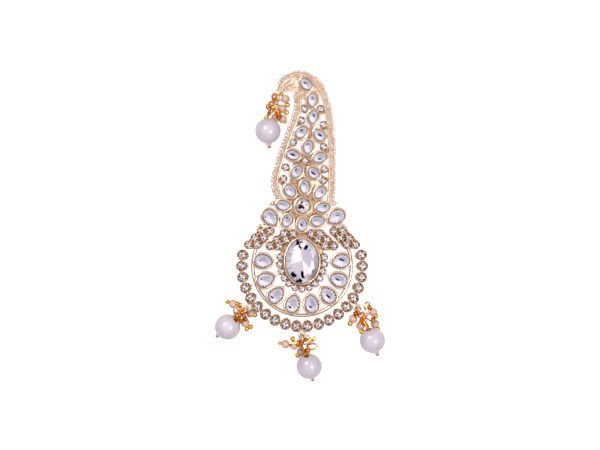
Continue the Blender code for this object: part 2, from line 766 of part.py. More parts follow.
class Workshop:
    """Puts meshes into the model, alone or fused, all under one empty."""

    def __init__(self):
        scene = bpy.context.scene.collection
        self.parts = new_collection("Turban ornament", scene)
        self.cutters = new_collection("Cutters", scene)
        self.materials = {name: new_material(name, finish) for name, finish in FINISHES.items()}
        self.origin = bpy.data.objects.new("ornament_origin", None)
        self.parts.objects.link(self.origin)
        self.joints = []

    def place(self, name, mesh, spot, collection):
        """One object at a spot, under the empty."""
        thing = bpy.data.objects.new(name, mesh)
        collection.objects.link(thing)
        thing.parent = self.origin
        thing.matrix_world = spot
        return thing

    def part(self, name, mesh, finish, spot=Matrix.Identity(4)):
        """One visible part with its finish."""
        own = mesh.copy()
        own.materials.clear()
        own.materials.append(self.materials[finish])
        return self.place(name, own, spot, self.parts)

    def fused(self, name, finish, pieces, hollows=()):
        """One part: placed meshes joined into a single solid, less some hollows."""
        (first, spot), *others = pieces
        thing = self.part(name, first, finish, spot)
        for operation, placed in (("UNION", others), ("DIFFERENCE", hollows)):
            if not placed:
                continue
            collection = new_collection(f"{name} {operation.lower()}", self.cutters)
            for index, (mesh, mesh_spot) in enumerate(placed):
                cutter = self.place(f"{name}.{operation.lower()}.{index}", mesh, mesh_spot, collection)
                cutter.hide_render = True
                cutter.display_type = "WIRE"
            self.joints.append((thing, operation, collection))

    def join(self):
        """Give each fused part its modifiers, once all shapes have been made."""
        for thing, operation, collection in self.joints:
            boolean = thing.modifiers.new(operation.title(), "BOOLEAN")
            boolean.operation = operation
            boolean.solver = "EXACT"
            boolean.operand_type = "COLLECTION"
            boolean.collection = collection
        for thing in {id(thing): thing for thing, *_ in self.joints}.values():
            flatten = thing.modifiers.new("Flatten", "DECIMATE")
            flatten.decimate_type = "DISSOLVE"
            flatten.angle_limit = math.radians(FLAT_ANGLE)

    def centre(self):
        """Move the model so that its footprint's middle is at the origin and its lowest point at 0."""
        bpy.context.view_layer.update()
        depsgraph = bpy.context.evaluated_depsgraph_get()
        corners = []
        for thing in self.parts.objects:
            if thing.type == "MESH":
                solid = thing.evaluated_get(depsgraph)
                corners += [thing.matrix_world @ vert.co for vert in solid.data.vertices]
        low = Vector([min(corner[axis] for corner in corners) for axis in range(3)])
        high = Vector([max(corner[axis] for corner in corners) for axis in range(3)])
        self.origin.location = -Vector(((low.x + high.x) / 2, (low.y + high.y) / 2, low.z))


class Ornament:
    """The whole jewel, built piece by piece."""

    def __init__(self):
        self.shop = Workshop()
        self.small = flower_settings() + star_settings() + crest_settings()
        self.shoulders = shoulder_settings()
        self.large = disc_settings() + self.shoulders
        self.fields = wings()
        self.rounds = [neck_point(share) for share in NECK_ROUNDS]

    def stones(self):
        """The cut stones that sit loose in their bezels."""
        for settings, outline, crown, facets in ((self.small, small_drop, SMALL_CROWN, SINGLE_CUT),
                                                 (self.large, large_drop, LARGE_CROWN, DOUBLE_CUT)):
            mesh = stone_mesh("drop", outline, SEAT_LEVEL, crown, facets)
            for setting in settings:
                self.shop.part(setting.name, mesh, "foiled_crystal", at(setting.place, degrees=setting.tip))
        oval_seat = SEAT_LEVEL + OVAL_BEZEL_HEIGHT - BEZEL_HEIGHT
        oval = stone_mesh("oval", oval_stone, oval_seat, OVAL_CROWN, DOUBLE_CUT)
        self.shop.part("oval_crystal", oval, "clear_crystal", at(OVAL_MIDDLE))
        flower = stone_mesh("round", flower_stone, SEAT_LEVEL, SMALL_CROWN, DOUBLE_CUT)
        self.shop.part("flower_crystal", flower, "clear_crystal", at(FLOWER_MIDDLE))

    def bezels(self):
        """Solid blanks of all bezels, and the pockets that are sunk in them."""
        blanks, pockets = [], []
        for settings, outline in ((self.small, small_drop), (self.large, large_drop)):
            blank = flat_mesh("bezel", outline(BEZEL_GROWTH), BACK, LIP)
            pocket = flat_mesh("pocket", outline(SIDE_GAP), BACK + FLOOR, ABOVE_ALL)
            for setting in settings:
                spot = at(setting.place, degrees=setting.tip)
                blanks.append((blank, spot))
                pockets.append((pocket, spot))
        rise = OVAL_BEZEL_HEIGHT - BEZEL_HEIGHT
        blanks.append((flat_mesh("oval bezel", oval_stone(OVAL_GROWTH), BACK, LIP + rise), at(OVAL_MIDDLE)))
        pockets.append((flat_mesh("oval pocket", oval_stone(SIDE_GAP), BACK + FLOOR + rise, ABOVE_ALL),
                        at(OVAL_MIDDLE)))
        blanks.append((flat_mesh("flower bezel", flower_stone(BEZEL_GROWTH), BACK, LIP), at(FLOWER_MIDDLE)))
        pockets.append((flat_mesh("flower pocket", flower_stone(SIDE_GAP), BACK + FLOOR, ABOVE_ALL),
                        at(FLOWER_MIDDLE)))
        return blanks, pockets

    def disc_metal(self):
        """The ring, the flange under the halo, the spine, the bridges and the wings' ledges."""
        sweep = (180.0 + 2 * RING_ENDS) / RING_STEPS
        line = [polar(RING_RADIUS, 180.0 - RING_ENDS + sweep * step) for step in range(RING_STEPS + 1)]
        middle = at((0.0, 0.0))
        ring = flat_mesh("ring", band_outline(line, RING_WIDTH), BACK + RING_SETBACK, BACK + RING_HEIGHT)
        low = BACK + LEDGE_SETBACK
        high = low + LEDGE_THICKNESS
        flange = flat_mesh("flange", oval_stone(HALO_GROWTH + HALO_CUP_RADIUS - CUP_SPACING), low, high)
        web = BACK + WEB_SETBACK
        metal = [(ring, middle), (flange, at(OVAL_MIDDLE)),
                 bar_between(OVAL_MIDDLE, FLOWER_MIDDLE, SPINE_WIDTH, web, web + BRIDGE_THICKNESS)]
        for setting in disc_settings():
            metal.append(bridge(setting.place, polar(HALO_HALF_WIDTH, setting.tip - 180.0)))
        for points in self.fields.values():
            metal.append((flat_mesh("ledge", hull_of(points, PAVE_CUP_RADIUS), low, high), middle))
        return metal

    def neck_metal(self):
        """The plates, borders, bridges, bosses, eye and fused round stones of the neck."""
        middle = at((0.0, 0.0))
        low = BACK + WEB_SETBACK
        high = low + WEB_THICKNESS
        plates = {"flower": [(FLOWER_MIDDLE, FLOWER_RING_RADIUS)]}
        for name, circles in NECK_PLATES.items():
            plates[name] = [(neck_point(circle), circle.radius * SMALL_BEZEL_LENGTH) for circle in circles]
        metal = [(flat_mesh(f"{name} plate", hull_outline(circles, PLATE_SIDES), low, high), middle)
                 for name, circles in plates.items()]
        metal += [(border_mesh("border", shares), middle) for shares in (BORDER_RIGHT, BORDER_LEFT)]
        metal += [bridge(neck_point(start), neck_point(end)) for start, end in BRIDGES]
        rails = [neck_point(share) for share in border_shares()]
        drops = [setting.place for setting in self.small]
        metal += [bridge(nearest(place, rails), nearest(place, drops)) for place in self.rounds[1:]]
        cup = chaton_mesh("neck chaton", NECK_CUP_RADIUS, BACK + CUP_SETBACK, BACK + NECK_CUP_HEIGHT)
        metal += [(cup, at(place)) for place in self.rounds]
        boss = chaton_mesh("boss", BOSS_DIAMETER / 2, BACK + CUP_SETBACK, BACK + BOSS_HEIGHT)
        for place in [neck_point(share) for share in BOSSES]:
            metal += [(boss, at(place)), bridge(place, nearest(place, drops))]
        for shoulder, field in zip(self.shoulders, ("pave_left_outer", "pave_right_outer")):
            metal.append(bridge(shoulder.place, nearest(shoulder.place, drops)))
            metal.append(bridge(shoulder.place, self.fields[field][0]))
            outer = self.fields[field][3]
            metal.append((boss, at(outer + Vector((0.0, PAVE_CUP_RADIUS + BOSS_DIAMETER * BOSS_SINK)))))
        metal.append((link_mesh("eye", EYE_RADIUS, EYE_WIRE), at(neck_point(TOP_EYE), EYE_LEVEL)))
        return metal

    def cast_frame(self):
        """The casting: everything of metal that is one piece."""
        blanks, pockets = self.bezels()
        for points in self.fields.values():
            outline = hull_of(points, FIELD_GROWTH + SETTING_GAP)
            pockets.append((flat_mesh("field seat", outline, BACK + FLOOR, ABOVE_ALL), at((0.0, 0.0))))
        self.shop.fused("cast_frame", "pale_gold", blanks + self.disc_metal() + self.neck_metal(), pockets)

    def rim(self):
        """The chatons round the disc, with their strip, their eyes and some tabs that reach the ring."""
        line = [polar(RIM_RADIUS, rim_angle(index)) for index in range(RIM_COUNT)]
        strip = flat_mesh("strip", band_outline(line, STRIP_WIDTH), BACK + RING_SETBACK, BACK + FLOOR)
        cup = chaton_mesh("rim chaton", RIM_CUP_RADIUS, BACK, BACK + RIM_CUP_HEIGHT)
        eye = link_mesh("eye", EYE_RADIUS, EYE_WIRE)
        pieces = [(strip, at((0.0, 0.0)))]
        pieces += [(cup, at(place)) for place in line]
        low = BACK + WEB_SETBACK
        for index in TABBED:
            end = polar(RING_OUTSIDE + SETTING_GAP, rim_angle(index))
            pieces.append(bar_between(line[index], end, TAB_WIDTH, low, low + WEB_THICKNESS))
        low = EYE_LEVEL - EYE_STEM_HEIGHT / 2
        for name, index in RIM_EYES.items():
            spot = eye_place(name)
            start = polar(RIM_RADIUS, rim_angle(index))
            end = polar(spot.length - EYE_RADIUS, rim_angle(index))
            pieces.append((eye, at(spot, EYE_LEVEL)))
            pieces.append(bar_between(start, end, EYE_STEM, low, low + EYE_STEM_HEIGHT))
        self.shop.fused("rim_chatons", "pale_gold", pieces)

    def halo(self):
        """The chain of small stones round the oval."""
        points = halo_points()
        low = SEAT_LEVEL + GRAIN_BASE
        strip = flat_mesh("strip", band_outline(points, STRIP_WIDTH), low, low + FIELD_THICKNESS)
        grain = chaton_mesh("grain", HALO_CUP_RADIUS, SEAT_LEVEL, SEAT_LEVEL + GRAIN_HEIGHT)
        self.shop.fused("halo_chatons", "clear_crystal",
                        [(strip, at((0.0, 0.0)))] + [(grain, at(point)) for point in points])

    def pave(self):
        """The four wings of small stones, each on its own plate."""
        high = SEAT_LEVEL + FIELD_THICKNESS
        grain = chaton_mesh("grain", PAVE_CUP_RADIUS, SEAT_LEVEL + GRAIN_BASE, SEAT_LEVEL + GRAIN_HEIGHT)
        for name, points in self.fields.items():
            plate = flat_mesh("plate", hull_of(points, FIELD_GROWTH), SEAT_LEVEL, high)
            self.shop.fused(name, "clear_crystal",
                            [(plate, at((0.0, 0.0)))] + [(grain, at(point)) for point in points])

    def hanging_drops(self):
        """The four pearls on their headpins, with their jump rings and small beads."""
        jump_ring = link_mesh("jump ring", JUMP_RING_RADIUS, JUMP_RING_WIRE)
        loop = link_mesh("loop", LOOP_RADIUS, LOOP_WIRE)
        pearl = pearl_mesh()
        upright = Matrix.Rotation(math.radians(90.0), 4, "X")
        for hanger in HANGERS:
            eye = eye_place(hanger.name)
            ring_place = polar(JUMP_RING_RADIUS, hanger.chain, eye)
            self.shop.part(f"jump_ring_{hanger.name}", jump_ring, "pale_gold",
                           at(ring_place, EYE_LEVEL, hanger.chain) @ upright)
            loop_place = polar(2 * JUMP_RING_RADIUS, hanger.chain, eye)
            middle = polar(PEARL_RADIUS + hanger.pearl_away * PEARL_DIAMETER, hanger.pearl_angle, loop_place)
            middle = Vector((*middle, PEARL_RADIUS))
            droop = math.radians(hanger.droop)
            way = Vector((*polar(math.cos(droop), hanger.pin), -math.sin(droop)))
            self.shop.part(f"pearl_{hanger.name}", pearl, "pearl", along(middle, way))
            pieces = [(loop, at(loop_place, EYE_LEVEL)), *self.headpin(loop_place, middle, way)]
            for small in SMALL_BEADS:
                if small.hanger == hanger.name:
                    pieces += self.small_bead(loop_place, small)
            self.shop.fused(f"dangle_{hanger.name}", "deep_gold", pieces)

    @staticmethod
    def headpin(loop_place, middle, way):
        """The pin from a loop through a pearl, with the nub and the head at its end."""
        nub_reach = PEARL_RADIUS + SEAT_GAP + NUB_DIAMETER / 2
        head_reach = nub_reach + (NUB_DIAMETER + HEAD_DIAMETER / 2) / 2
        lead = middle - way * (PEARL_RADIUS + HEADPIN_LEAD)
        toward = math.degrees(math.atan2(lead.y - loop_place.y, lead.x - loop_place.x))
        points = [on_loop(loop_place, toward), lead, middle + way * head_reach]
        return [(wire_mesh("headpin", points, HEADPIN_WIRE), Matrix.Identity(4)),
                (bead_mesh("nub", NUB_DIAMETER, ROUND_SIDES), along(middle + way * nub_reach, way)),
                (bead_mesh("head", HEAD_DIAMETER, HEAD_SIDES), along(middle + way * head_reach, way))]

    @staticmethod
    def small_bead(loop_place, small):
        """A small bead and the thin pin that holds it to a loop."""
        place = polar(small.away * SMALL_BEAD_DIAMETER, small.angle, loop_place)
        place = Vector((*place, small.height * SMALL_BEAD_DIAMETER))
        wire = wire_mesh("bead pin", [on_loop(loop_place, small.angle), place], BEAD_PIN_WIRE, 0)
        bead = bead_mesh("small bead", SMALL_BEAD_DIAMETER, ROUND_SIDES)
        return [(wire, Matrix.Identity(4)), (bead, along(place, polar(1.0, small.angle).to_3d()))]

    def brooch_pin(self):
        """The plain pin behind: a plate, two feet and the stem between them."""
        middle = Vector((0.0, PIN_MIDDLE))
        plate = box_mesh("plate", (PIN_WIDTH, PIN_LENGTH, PIN_PLATE))
        foot = box_mesh("foot", (PIN_WIDTH, PIN_FOOT, PIN_HEIGHT - PIN_PLATE / 2))
        pieces = [(plate, at(middle, PIN_HEIGHT - PIN_PLATE / 2))]
        ends = [middle + Vector((0.0, side * (PIN_LENGTH / 2 - PIN_FOOT))) for side in (-1, 1)]
        pieces += [(foot, at(end, (PIN_HEIGHT - PIN_PLATE / 2) / 2)) for end in ends]
        stem = wire_mesh("stem", [(*end, PIN_STEM_HEIGHT) for end in ends], PIN_STEM_WIRE)
        pieces.append((stem, Matrix.Identity(4)))
        self.shop.fused("brooch_pin", "pale_gold", pieces)

    def build(self):
        """Every piece of the ornament, then the whole set on its origin."""
        self.stones()
        self.cast_frame()
        self.rim()
        self.halo()
        self.pave()
        self.hanging_drops()
        self.brooch_pin()
        self.shop.join()
        self.shop.centre()


def on_loop(loop_place, degrees):
    """The middle of a loop's wire on one side of it."""
    return Vector((*polar(LOOP_RADIUS, degrees, loop_place), EYE_LEVEL))


def eye_place(name):
    """Where an eye for a hanging drop stands."""
    if name not in RIM_EYES:
        return neck_point(TOP_EYE)
    return polar(RIM_RADIUS + RIM_CUP_RADIUS + EYE_STANDOFF, rim_angle(RIM_EYES[name]))


def border_shares():
    """Points of both borders, as shares, close enough together to measure from."""
    shares = []
    for border in (BORDER_RIGHT, BORDER_LEFT):
        shares += [NeckPoint(*point) for point in smooth_line([Vector(share) for share in border], 6)]
    return shares


def main():
    """Build the ornament."""
    clear_scene()
    Ornament().build()


main()
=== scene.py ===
"""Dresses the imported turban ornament: smooth castings, cut stones, pearls, wire and a pale studio.

Places are worked out about the middle of the round disc, as the solids are, and every piece is
built where it lies, so its object stays at the origin.
"""
import logging
import math
import random
from collections.abc import Iterable, Sequence
from dataclasses import dataclass, field
from enum import Enum

import bpy
from bpy.types import Material, Mesh, Node, NodeSocket, NodeTree
from mathutils import Matrix, Vector


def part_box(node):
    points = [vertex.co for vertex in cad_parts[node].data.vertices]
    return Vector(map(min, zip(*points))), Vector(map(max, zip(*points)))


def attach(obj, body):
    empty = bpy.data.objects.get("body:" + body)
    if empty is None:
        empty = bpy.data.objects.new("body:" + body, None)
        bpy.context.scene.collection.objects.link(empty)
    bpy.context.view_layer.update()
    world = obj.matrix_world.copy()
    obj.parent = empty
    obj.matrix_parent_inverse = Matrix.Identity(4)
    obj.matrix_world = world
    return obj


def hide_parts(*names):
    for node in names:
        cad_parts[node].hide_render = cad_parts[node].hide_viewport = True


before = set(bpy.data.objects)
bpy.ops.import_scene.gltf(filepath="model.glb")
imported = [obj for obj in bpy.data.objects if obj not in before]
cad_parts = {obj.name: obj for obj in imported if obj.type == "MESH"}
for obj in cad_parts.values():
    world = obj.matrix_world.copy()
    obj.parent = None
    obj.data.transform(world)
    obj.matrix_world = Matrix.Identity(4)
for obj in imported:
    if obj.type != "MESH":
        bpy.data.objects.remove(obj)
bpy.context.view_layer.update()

LOG = logging.getLogger("ornament")
MM = 0.001
BACK = 5.0 * MM
LIP = 2.6 * MM
EYE_LEVEL = 5.8 * MM
GIRDLE = 2.1 * MM
STONE_BASE = 0.9 * MM
OVAL_UP = 2.0 * MM
EYE_RADIUS = 1.15 * MM
EYE_WIRE = 0.8 * MM
FRAME = ("cast_frame",)
EDGE_ANGLE = math.radians(42.0)
PLAIN_TONE = 0.5
CUP_CLEAR = 0.14 * MM
CUP_DEPTH = 0.8 * MM
CUP_ROUNDING = ((0.06, 0.15), (0.2, 0.03), (0.5, 0.0), (0.8, 0.03), (0.94, 0.15))
# Painted dark reflections on the stones: the outline of each sliver, its widths, stretch and layers.
REFLECTION_SHAPE = ((-0.5, 0.1), (-0.32, -0.45), (0.1, -0.5), (0.45, -0.3), (0.5, 0.15), (0.2, 0.5), (-0.25, 0.45))
REFLECTION_WIDTHS = (0.45, 0.14, 0.75)
REFLECTION_STRETCH = 1.1
REFLECTION_LAYERS = ((1.0, -0.2 * MM), (1.0, 0.0), (0.8, 0.02 * MM))


class Slot(Enum):
    """The record's material slots."""

    PALE_GOLD = "pale_gold"
    DEEP_GOLD = "deep_gold"
    CLEAR_CRYSTAL = "clear_crystal"
    FOILED_CRYSTAL = "foiled_crystal"
    PEARL = "pearl"


class Form(Enum):
    """Outlines that stones are cut to."""

    DROP = "drop"
    OVAL = "oval"


# ---- places -------------------------------------------------------------------------------------


def disc_middle() -> Vector:
    """The middle of the disc in the frame, from the oval stone that stands above it."""
    low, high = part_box("oval_crystal")
    return Vector(((low[0] + high[0]) / 2, (low[1] + high[1]) / 2 - OVAL_UP, 0.0))


MIDDLE = disc_middle()


def polar(radius: float, degrees: float, middle: Sequence[float] = (0.0, 0.0)) -> Vector:
    """The flat point at a radius and an angle about a middle."""
    turn = math.radians(degrees)
    return Vector((middle[0] + radius * math.cos(turn), middle[1] + radius * math.sin(turn)))


def mm(across: float, up: float) -> Vector:
    """A flat place that is given in mm."""
    return Vector((across, up)) * MM


def at(point: Sequence[float], level: float = 0.0, degrees: float = 0.0) -> Matrix:
    """A placing matrix from a point about the disc's middle, a height and a turn about Z."""
    place = MIDDLE + Vector((point[0], point[1], level))
    return Matrix.Translation(place) @ Matrix.Rotation(math.radians(degrees), 4, "Z")


def along(start: Vector, way: Vector) -> Matrix:
    """A placing matrix at a start about the disc's middle, with Z along a way."""
    return Matrix.Translation(MIDDLE + start) @ way.to_track_quat("Z", "Y").to_matrix().to_4x4()


def smooth_line(points: Sequence[Vector], steps: int) -> list[Vector]:
    """Points of a smooth line through some points.

    Args:
        points: the points that the line passes through.
        steps: how many steps it takes between each two of them.

    Returns:
        The line's points, from the first to the last.
    """
    ends = [2 * points[0] - points[1], *points, 2 * points[-1] - points[-2]]
    line = []
    for before, start, end, after in zip(ends, ends[1:], ends[2:], ends[3:]):
        for step in range(steps):
            t = step / steps
            line.append(0.5 * (2 * start + (end - before) * t
                               + (2 * before - 5 * start + 4 * end - after) * t ** 2
                               + (3 * start - before - 3 * end + after) * t ** 3))
    return line + [points[-1].copy()]


def hull(circles: Iterable[tuple[Vector, float]], sides: int = 32) -> list[Vector]:
    """Convex outline round some circles, each a middle and a radius."""
    points = [polar(radius, 360 * step / sides, middle)
              for middle, radius in circles for step in range(sides)]
    ordered = sorted(points, key=lambda point: (point.x, point.y))
    outline: list[Vector] = []
    for run in (ordered, ordered[::-1]):
        half: list[Vector] = []
        for point in run:
            while len(half) > 1 and (half[-1] - half[-2]).cross(point - half[-1]) <= 0.0:
                half.pop()
            half.append(point)
        outline += half[:-1]
    return outline


@dataclass(frozen=True)
class Outline:
    """The outline of a cut stone, its point facing +X if it has one."""

    form: Form
    length: float
    width: float
    fullness: float = 0.5

    def point(self, turn: float, growth: float = 0.0, share: float = 1.0) -> Vector:
        """A point of the outline.

        Args:
            turn: how far round it lies, from 0 to 1.
            growth: how much the stone is grown on every side.
            share: the share of the grown stone's size.

        Returns:
            The flat point.
        """
        angle = 2 * math.pi * turn
        length, width = (self.length + 2 * growth) * share, (self.width + 2 * growth) * share
        if self.form is Form.OVAL:
            return Vector((length / 2 * math.cos(angle), width / 2 * math.sin(angle)))
        full = self.fullness
        peak = 2 * math.sqrt(((full + 1) / (full + 2)) ** (full + 1) / (full + 2))
        bulge = math.sin(angle) * max(math.sin(angle / 2), 0.0) ** full / peak
        return Vector((length / 2 * math.cos(angle), width / 2 * bulge))

    def loop(self, count: int, level: float, growth: float = 0.0, share: float = 1.0) -> list[Vector]:
        """The whole outline at a level, as points in space."""
        return [self.point(step / count, growth, share).to_3d() + Vector((0.0, 0.0, level))
                for step in range(count)]


SMALL_DROP = Outline(Form.DROP, 5.25 * MM, 3.85 * MM, 0.16)
LARGE_DROP = Outline(Form.DROP, 6.9 * MM, 5.3 * MM, 0.32)
OVAL = Outline(Form.OVAL, 13.0 * MM, 17.3 * MM)
FLOWER_ROUND = Outline(Form.OVAL, 5.9 * MM, 5.9 * MM)


def round_stone(diameter: float) -> Outline:
    """The outline of a small round stone."""
    return Outline(Form.OVAL, diameter, diameter)


# ---- mesh building ------------------------------------------------------------------------------


class Pile:
    """Gathers corners and faces until they are made one piece."""

    def __init__(self) -> None:
        """Start empty."""
        self.corners: list[Vector] = []
        self.places: list[Vector] = []
        self.marks: list[float] = []
        self.faces: list[tuple[int, ...]] = []
        self.tones: list[float] = []
        self.finishes: list[int] = []
        self.smooth: list[bool] = []

    def add(self, corners: Sequence[Vector], faces: Sequence[Sequence[int]], spot: Matrix = Matrix(),
            finish: int = 0, smooth: bool = True, unit: float = 1.0, mark: float = 0.0,
            tones: Sequence[float] = ()) -> None:
        """Add one shape.

        Args:
            corners: its corners in its own frame.
            faces: its faces, as lists of corners.
            spot: the matrix that places it.
            finish: which of the piece's materials it wears.
            smooth: whether its faces are shaded smooth.
            unit: the length that its own places are measured in.
            mark: a number that tells it from others of its kind.
            tones: a brightness for each face.
        """
        base = len(self.corners)
        self.corners += [spot @ corner for corner in corners]
        self.places += [corner / unit for corner in corners]
        self.marks += [mark] * len(corners)
        self.faces += [tuple(base + index for index in face) for face in faces]
        self.tones += list(tones) if tones else [PLAIN_TONE] * len(faces)
        self.finishes += [finish] * len(faces)
        self.smooth += [smooth] * len(faces)

    def loft(self, loops: Sequence[Sequence[Vector]], spot: Matrix = Matrix(), finish: int = 0,
             low_cap: bool = True, high_cap: bool = True, closed: bool = False) -> None:
        """Add a skin through loops that run counter-clockwise, from the lowest outside one on."""
        count = len(loops[0])
        corners = [corner for loop in loops for corner in loop]
        faces: list[list[int]] = []
        rows = list(range(len(loops) - 1)) + ([-1] if closed else [])
        for row in rows:
            low, high = (row % len(loops)) * count, ((row + 1) % len(loops)) * count
            for index in range(count):
                follow = (index + 1) % count
                faces.append([low + index, low + follow, high + follow, high + index])
        if low_cap and not closed:
            faces.append(list(range(count))[::-1])
        if high_cap and not closed:
            faces.append([(len(loops) - 1) * count + index for index in range(count)])
        self.add(corners, faces, spot, finish)

    def lathe(self, profile: Sequence[tuple[float, float]], sides: int, spot: Matrix, finish: int = 0,
              closed: bool = False, unit: float = 1.0, mark: float = 0.0) -> None:
        """Add a solid turned about Z from (radius, height) points that run from bottom to top."""
        corners: list[Vector] = []
        rings: list[list[int]] = []
        for radius, level in profile:
            start = len(corners)
            turns = [2 * math.pi * step / sides for step in range(sides if radius > 0.0 else 1)]
            corners += [Vector((radius * math.cos(turn), radius * math.sin(turn), level)) for turn in turns]
            rings.append(list(range(start, len(corners))))
        pairs = list(zip(rings, rings[1:])) + ([(rings[-1], rings[0])] if closed else [])
        faces: list[list[int]] = []
        for low, high in pairs:
            for index in range(sides):
                follow = (index + 1) % sides
                if len(low) == 1:
                    faces.append([low[0], high[follow], high[index]])
                elif len(high) == 1:
                    faces.append([low[index], low[follow], high[0]])
                else:
                    faces.append([low[index], low[follow], high[follow], high[index]])
        self.add(corners, faces, spot, finish, unit=unit, mark=mark)

    def ball(self, spot: Matrix, diameter: float, sides: int = 16, finish: int = 0, tall: float = 1.0,
             mark: float = 0.0) -> None:
        """Add a round ball, or one that is taller or flatter along its Z."""
        bands = max(sides // 2, 4)
        turns = [math.pi * band / bands for band in range(bands + 1)]
        profile = [(diameter / 2 * math.sin(turn), -diameter / 2 * tall * math.cos(turn)) for turn in turns]
        profile[0], profile[-1] = (0.0, profile[0][1]), (0.0, profile[-1][1])
        self.lathe(profile, sides, spot, finish, unit=diameter / 2, mark=mark)

    def tube(self, line: Sequence[Vector], wire: float, sides: int = 8, finish: int = 0,
             closed: bool = False, spot: Matrix = Matrix()) -> None:
        """Add a round wire along points, with flat ends unless it is closed."""
        count = len(line)
        ways = []
        for index, _ in enumerate(line):
            before = line[index - 1] if closed or index else line[0]
            after = line[(index + 1) % count] if closed or index < count - 1 else line[-1]
            ways.append((after - before).normalized())
        side = ways[0].orthogonal().normalized()
        turns = [2 * math.pi * step / sides for step in range(sides)]
        loops = []
        for place, way in zip(line, ways):
            side = (side - way * side.dot(way)).normalized()
            other = way.cross(side)
            loops.append([place + (side * math.cos(turn) + other * math.sin(turn)) * wire / 2
                          for turn in turns])
        self.loft(loops, spot, finish, closed=closed)

    def ring(self, spot: Matrix, radius: float, wire: float, steps: int = 32, sides: int = 10) -> None:
        """Add a round link of round wire that lies flat in its own frame."""
        line = [polar(radius, 360.0 * step / steps).to_3d() for step in range(steps)]
        self.tube(line, wire, sides, closed=True, spot=spot)

    def sweep(self, line: Sequence[Vector], section: Sequence[tuple[float, float]], finish: int = 0) -> None:
        """Add a solid strip along a flat line; its section is (to the right, height) points."""
        loops = []
        for index, place in enumerate(line):
            way = (line[min(index + 1, len(line) - 1)] - line[max(index - 1, 0)]).normalized()
            right = Vector((way.y, -way.x))
            loops.append([(place + right * across).to_3d() + Vector((0.0, 0.0, level)) + MIDDLE
                          for across, level in section])
        self.loft(loops, finish=finish)

    def plate(self, outline: Sequence[Vector], low: float, high: float, bevel: float = 0.12 * MM,
              finish: int = 0) -> None:
        """Add a flat plate with a rounded upper edge."""
        middle = sum(outline, Vector((0.0, 0.0))) / len(outline)
        reach = sum((point - middle).length for point in outline) / len(outline)
        loops = []
        edge = 0.3 * bevel
        for inset, level in ((0.0, low), (0.0, high - bevel), (edge, high - edge), (bevel, high)):
            share = 1.0 - inset / reach
            loops.append([(middle + (point - middle) * share).to_3d() + Vector((0.0, 0.0, level)) + MIDDLE
                          for point in outline])
        self.loft(loops, finish=finish)

    def mesh(self, name: str) -> Mesh:
        """The gathered faces as a mesh, with each stone's own places, mark and facet tones."""
        mesh = bpy.data.meshes.new(name)
        mesh.from_pydata(self.corners, [], self.faces)
        mesh.polygons.foreach_set("use_smooth", self.smooth)
        mesh.polygons.foreach_set("material_index", self.finishes)
        places = mesh.attributes.new("stone_place", "FLOAT_VECTOR", "POINT")
        places.data.foreach_set("vector", [value for place in self.places for value in place])
        marks = mesh.attributes.new("stone_mark", "FLOAT", "POINT")
        marks.data.foreach_set("value", self.marks)
        tones = mesh.attributes.new("facet_tone", "FLOAT", "FACE")
        tones.data.foreach_set("value", self.tones)
        mesh.set_sharp_from_angle(angle=EDGE_ANGLE)
        mesh.update()
        return mesh


@dataclass(frozen=True)
class Cut:
    """How a stone is cut: its facets, the shares of its levels, and the tones of its facets."""

    facets: int
    break_share: float
    table_share: float
    rise: float
    peak: tuple[float, float] = (0.0, 0.0)
    # Edge tones vary at random; the table tones and the near-black dark edges are painted reflections.
    edge_tones: tuple[float, float] = (0.35, 0.95)
    table_tones: tuple[float, ...] = (0.8,)
    dark_edges: tuple[int, ...] = ()
    break_rise: float = 0.78
    table_rise: float = 0.97
    under_share: float = 0.8
    dark_tone: float = 0.04

    def crown(self, reach: float) -> float:
        """Height of the crown at a share of the stone's half size from its middle."""
        share = (self.break_share - reach) / (self.break_share - self.table_share)
        lift = self.break_rise + (1.0 - self.break_rise) * min(max(share, 0.0), 1.0)
        return lift * self.rise

    def add(self, pile: Pile, outline: Outline, spot: Matrix, base: float, seed: int) -> None:
        """Add the stone: base, girdle, break facets, main facets and a table that meets in one point.

        Args:
            pile: where it is added.
            outline: its outline at the girdle.
            spot: places it, its girdle at height 0.
            base: how far the stone reaches below its girdle.
            seed: the seed of its facets' tones.
        """
        chance = random.Random(seed)
        facets, count = self.facets, 2 * self.facets
        under = outline.loop(count, -base, share=self.under_share)
        girdle = outline.loop(count, 0.0)
        middle = outline.loop(count, self.break_rise * self.rise, share=self.break_share)[::2]
        table = outline.loop(count, self.table_rise * self.rise, share=self.table_share)[1::2]
        peak = Vector((self.peak[0] * outline.length / 2, self.peak[1] * outline.width / 2, self.rise))
        corners = under + girdle + middle + table + [peak]
        first, second, third, top = count, 2 * count, 2 * count + facets, 2 * count + 2 * facets
        faces: list[list[int]] = [list(range(count))[::-1]]
        for index in range(count):
            follow = (index + 1) % count
            faces.append([index, follow, first + follow, first + index])
        for index in range(facets):
            follow = (index + 1) % facets
            left, edge = first + 2 * index, first + 2 * index + 1
            right = first + (2 * index + 2) % count
            faces.append([left, edge, second + index])
            faces.append([edge, right, second + follow])
            faces.append([edge, second + follow, third + index, second + index])
            faces.append([second + follow, third + follow, third + index])
        tones = [chance.uniform(*self.edge_tones) for _ in faces]
        for index in self.dark_edges:
            tones[1 + count + index] = self.dark_tone
        for index in range(facets):
            faces.append([third + index, third + (index + 1) % facets, top])
            tones.append(self.table_tones[index * len(self.table_tones) // facets])
        pile.add(corners, faces, spot, smooth=False, unit=outline.length / 2, mark=chance.random(),
                 tones=tones)


def painted_dark_reflection(pile: Pile, spot: Matrix, length: float, width: float, tone: float = 0.0) -> None:
    """Add a painted dark reflection: a thin dark sliver laid into a stone's table."""
    loops = [[Vector((x * length * share, y * width * share, level)) for x, y in REFLECTION_SHAPE]
             for share, level in REFLECTION_LAYERS]
    base = len(pile.faces)
    pile.loft(loops, spot)
    pile.tones[base:] = [tone] * (len(pile.faces) - base)


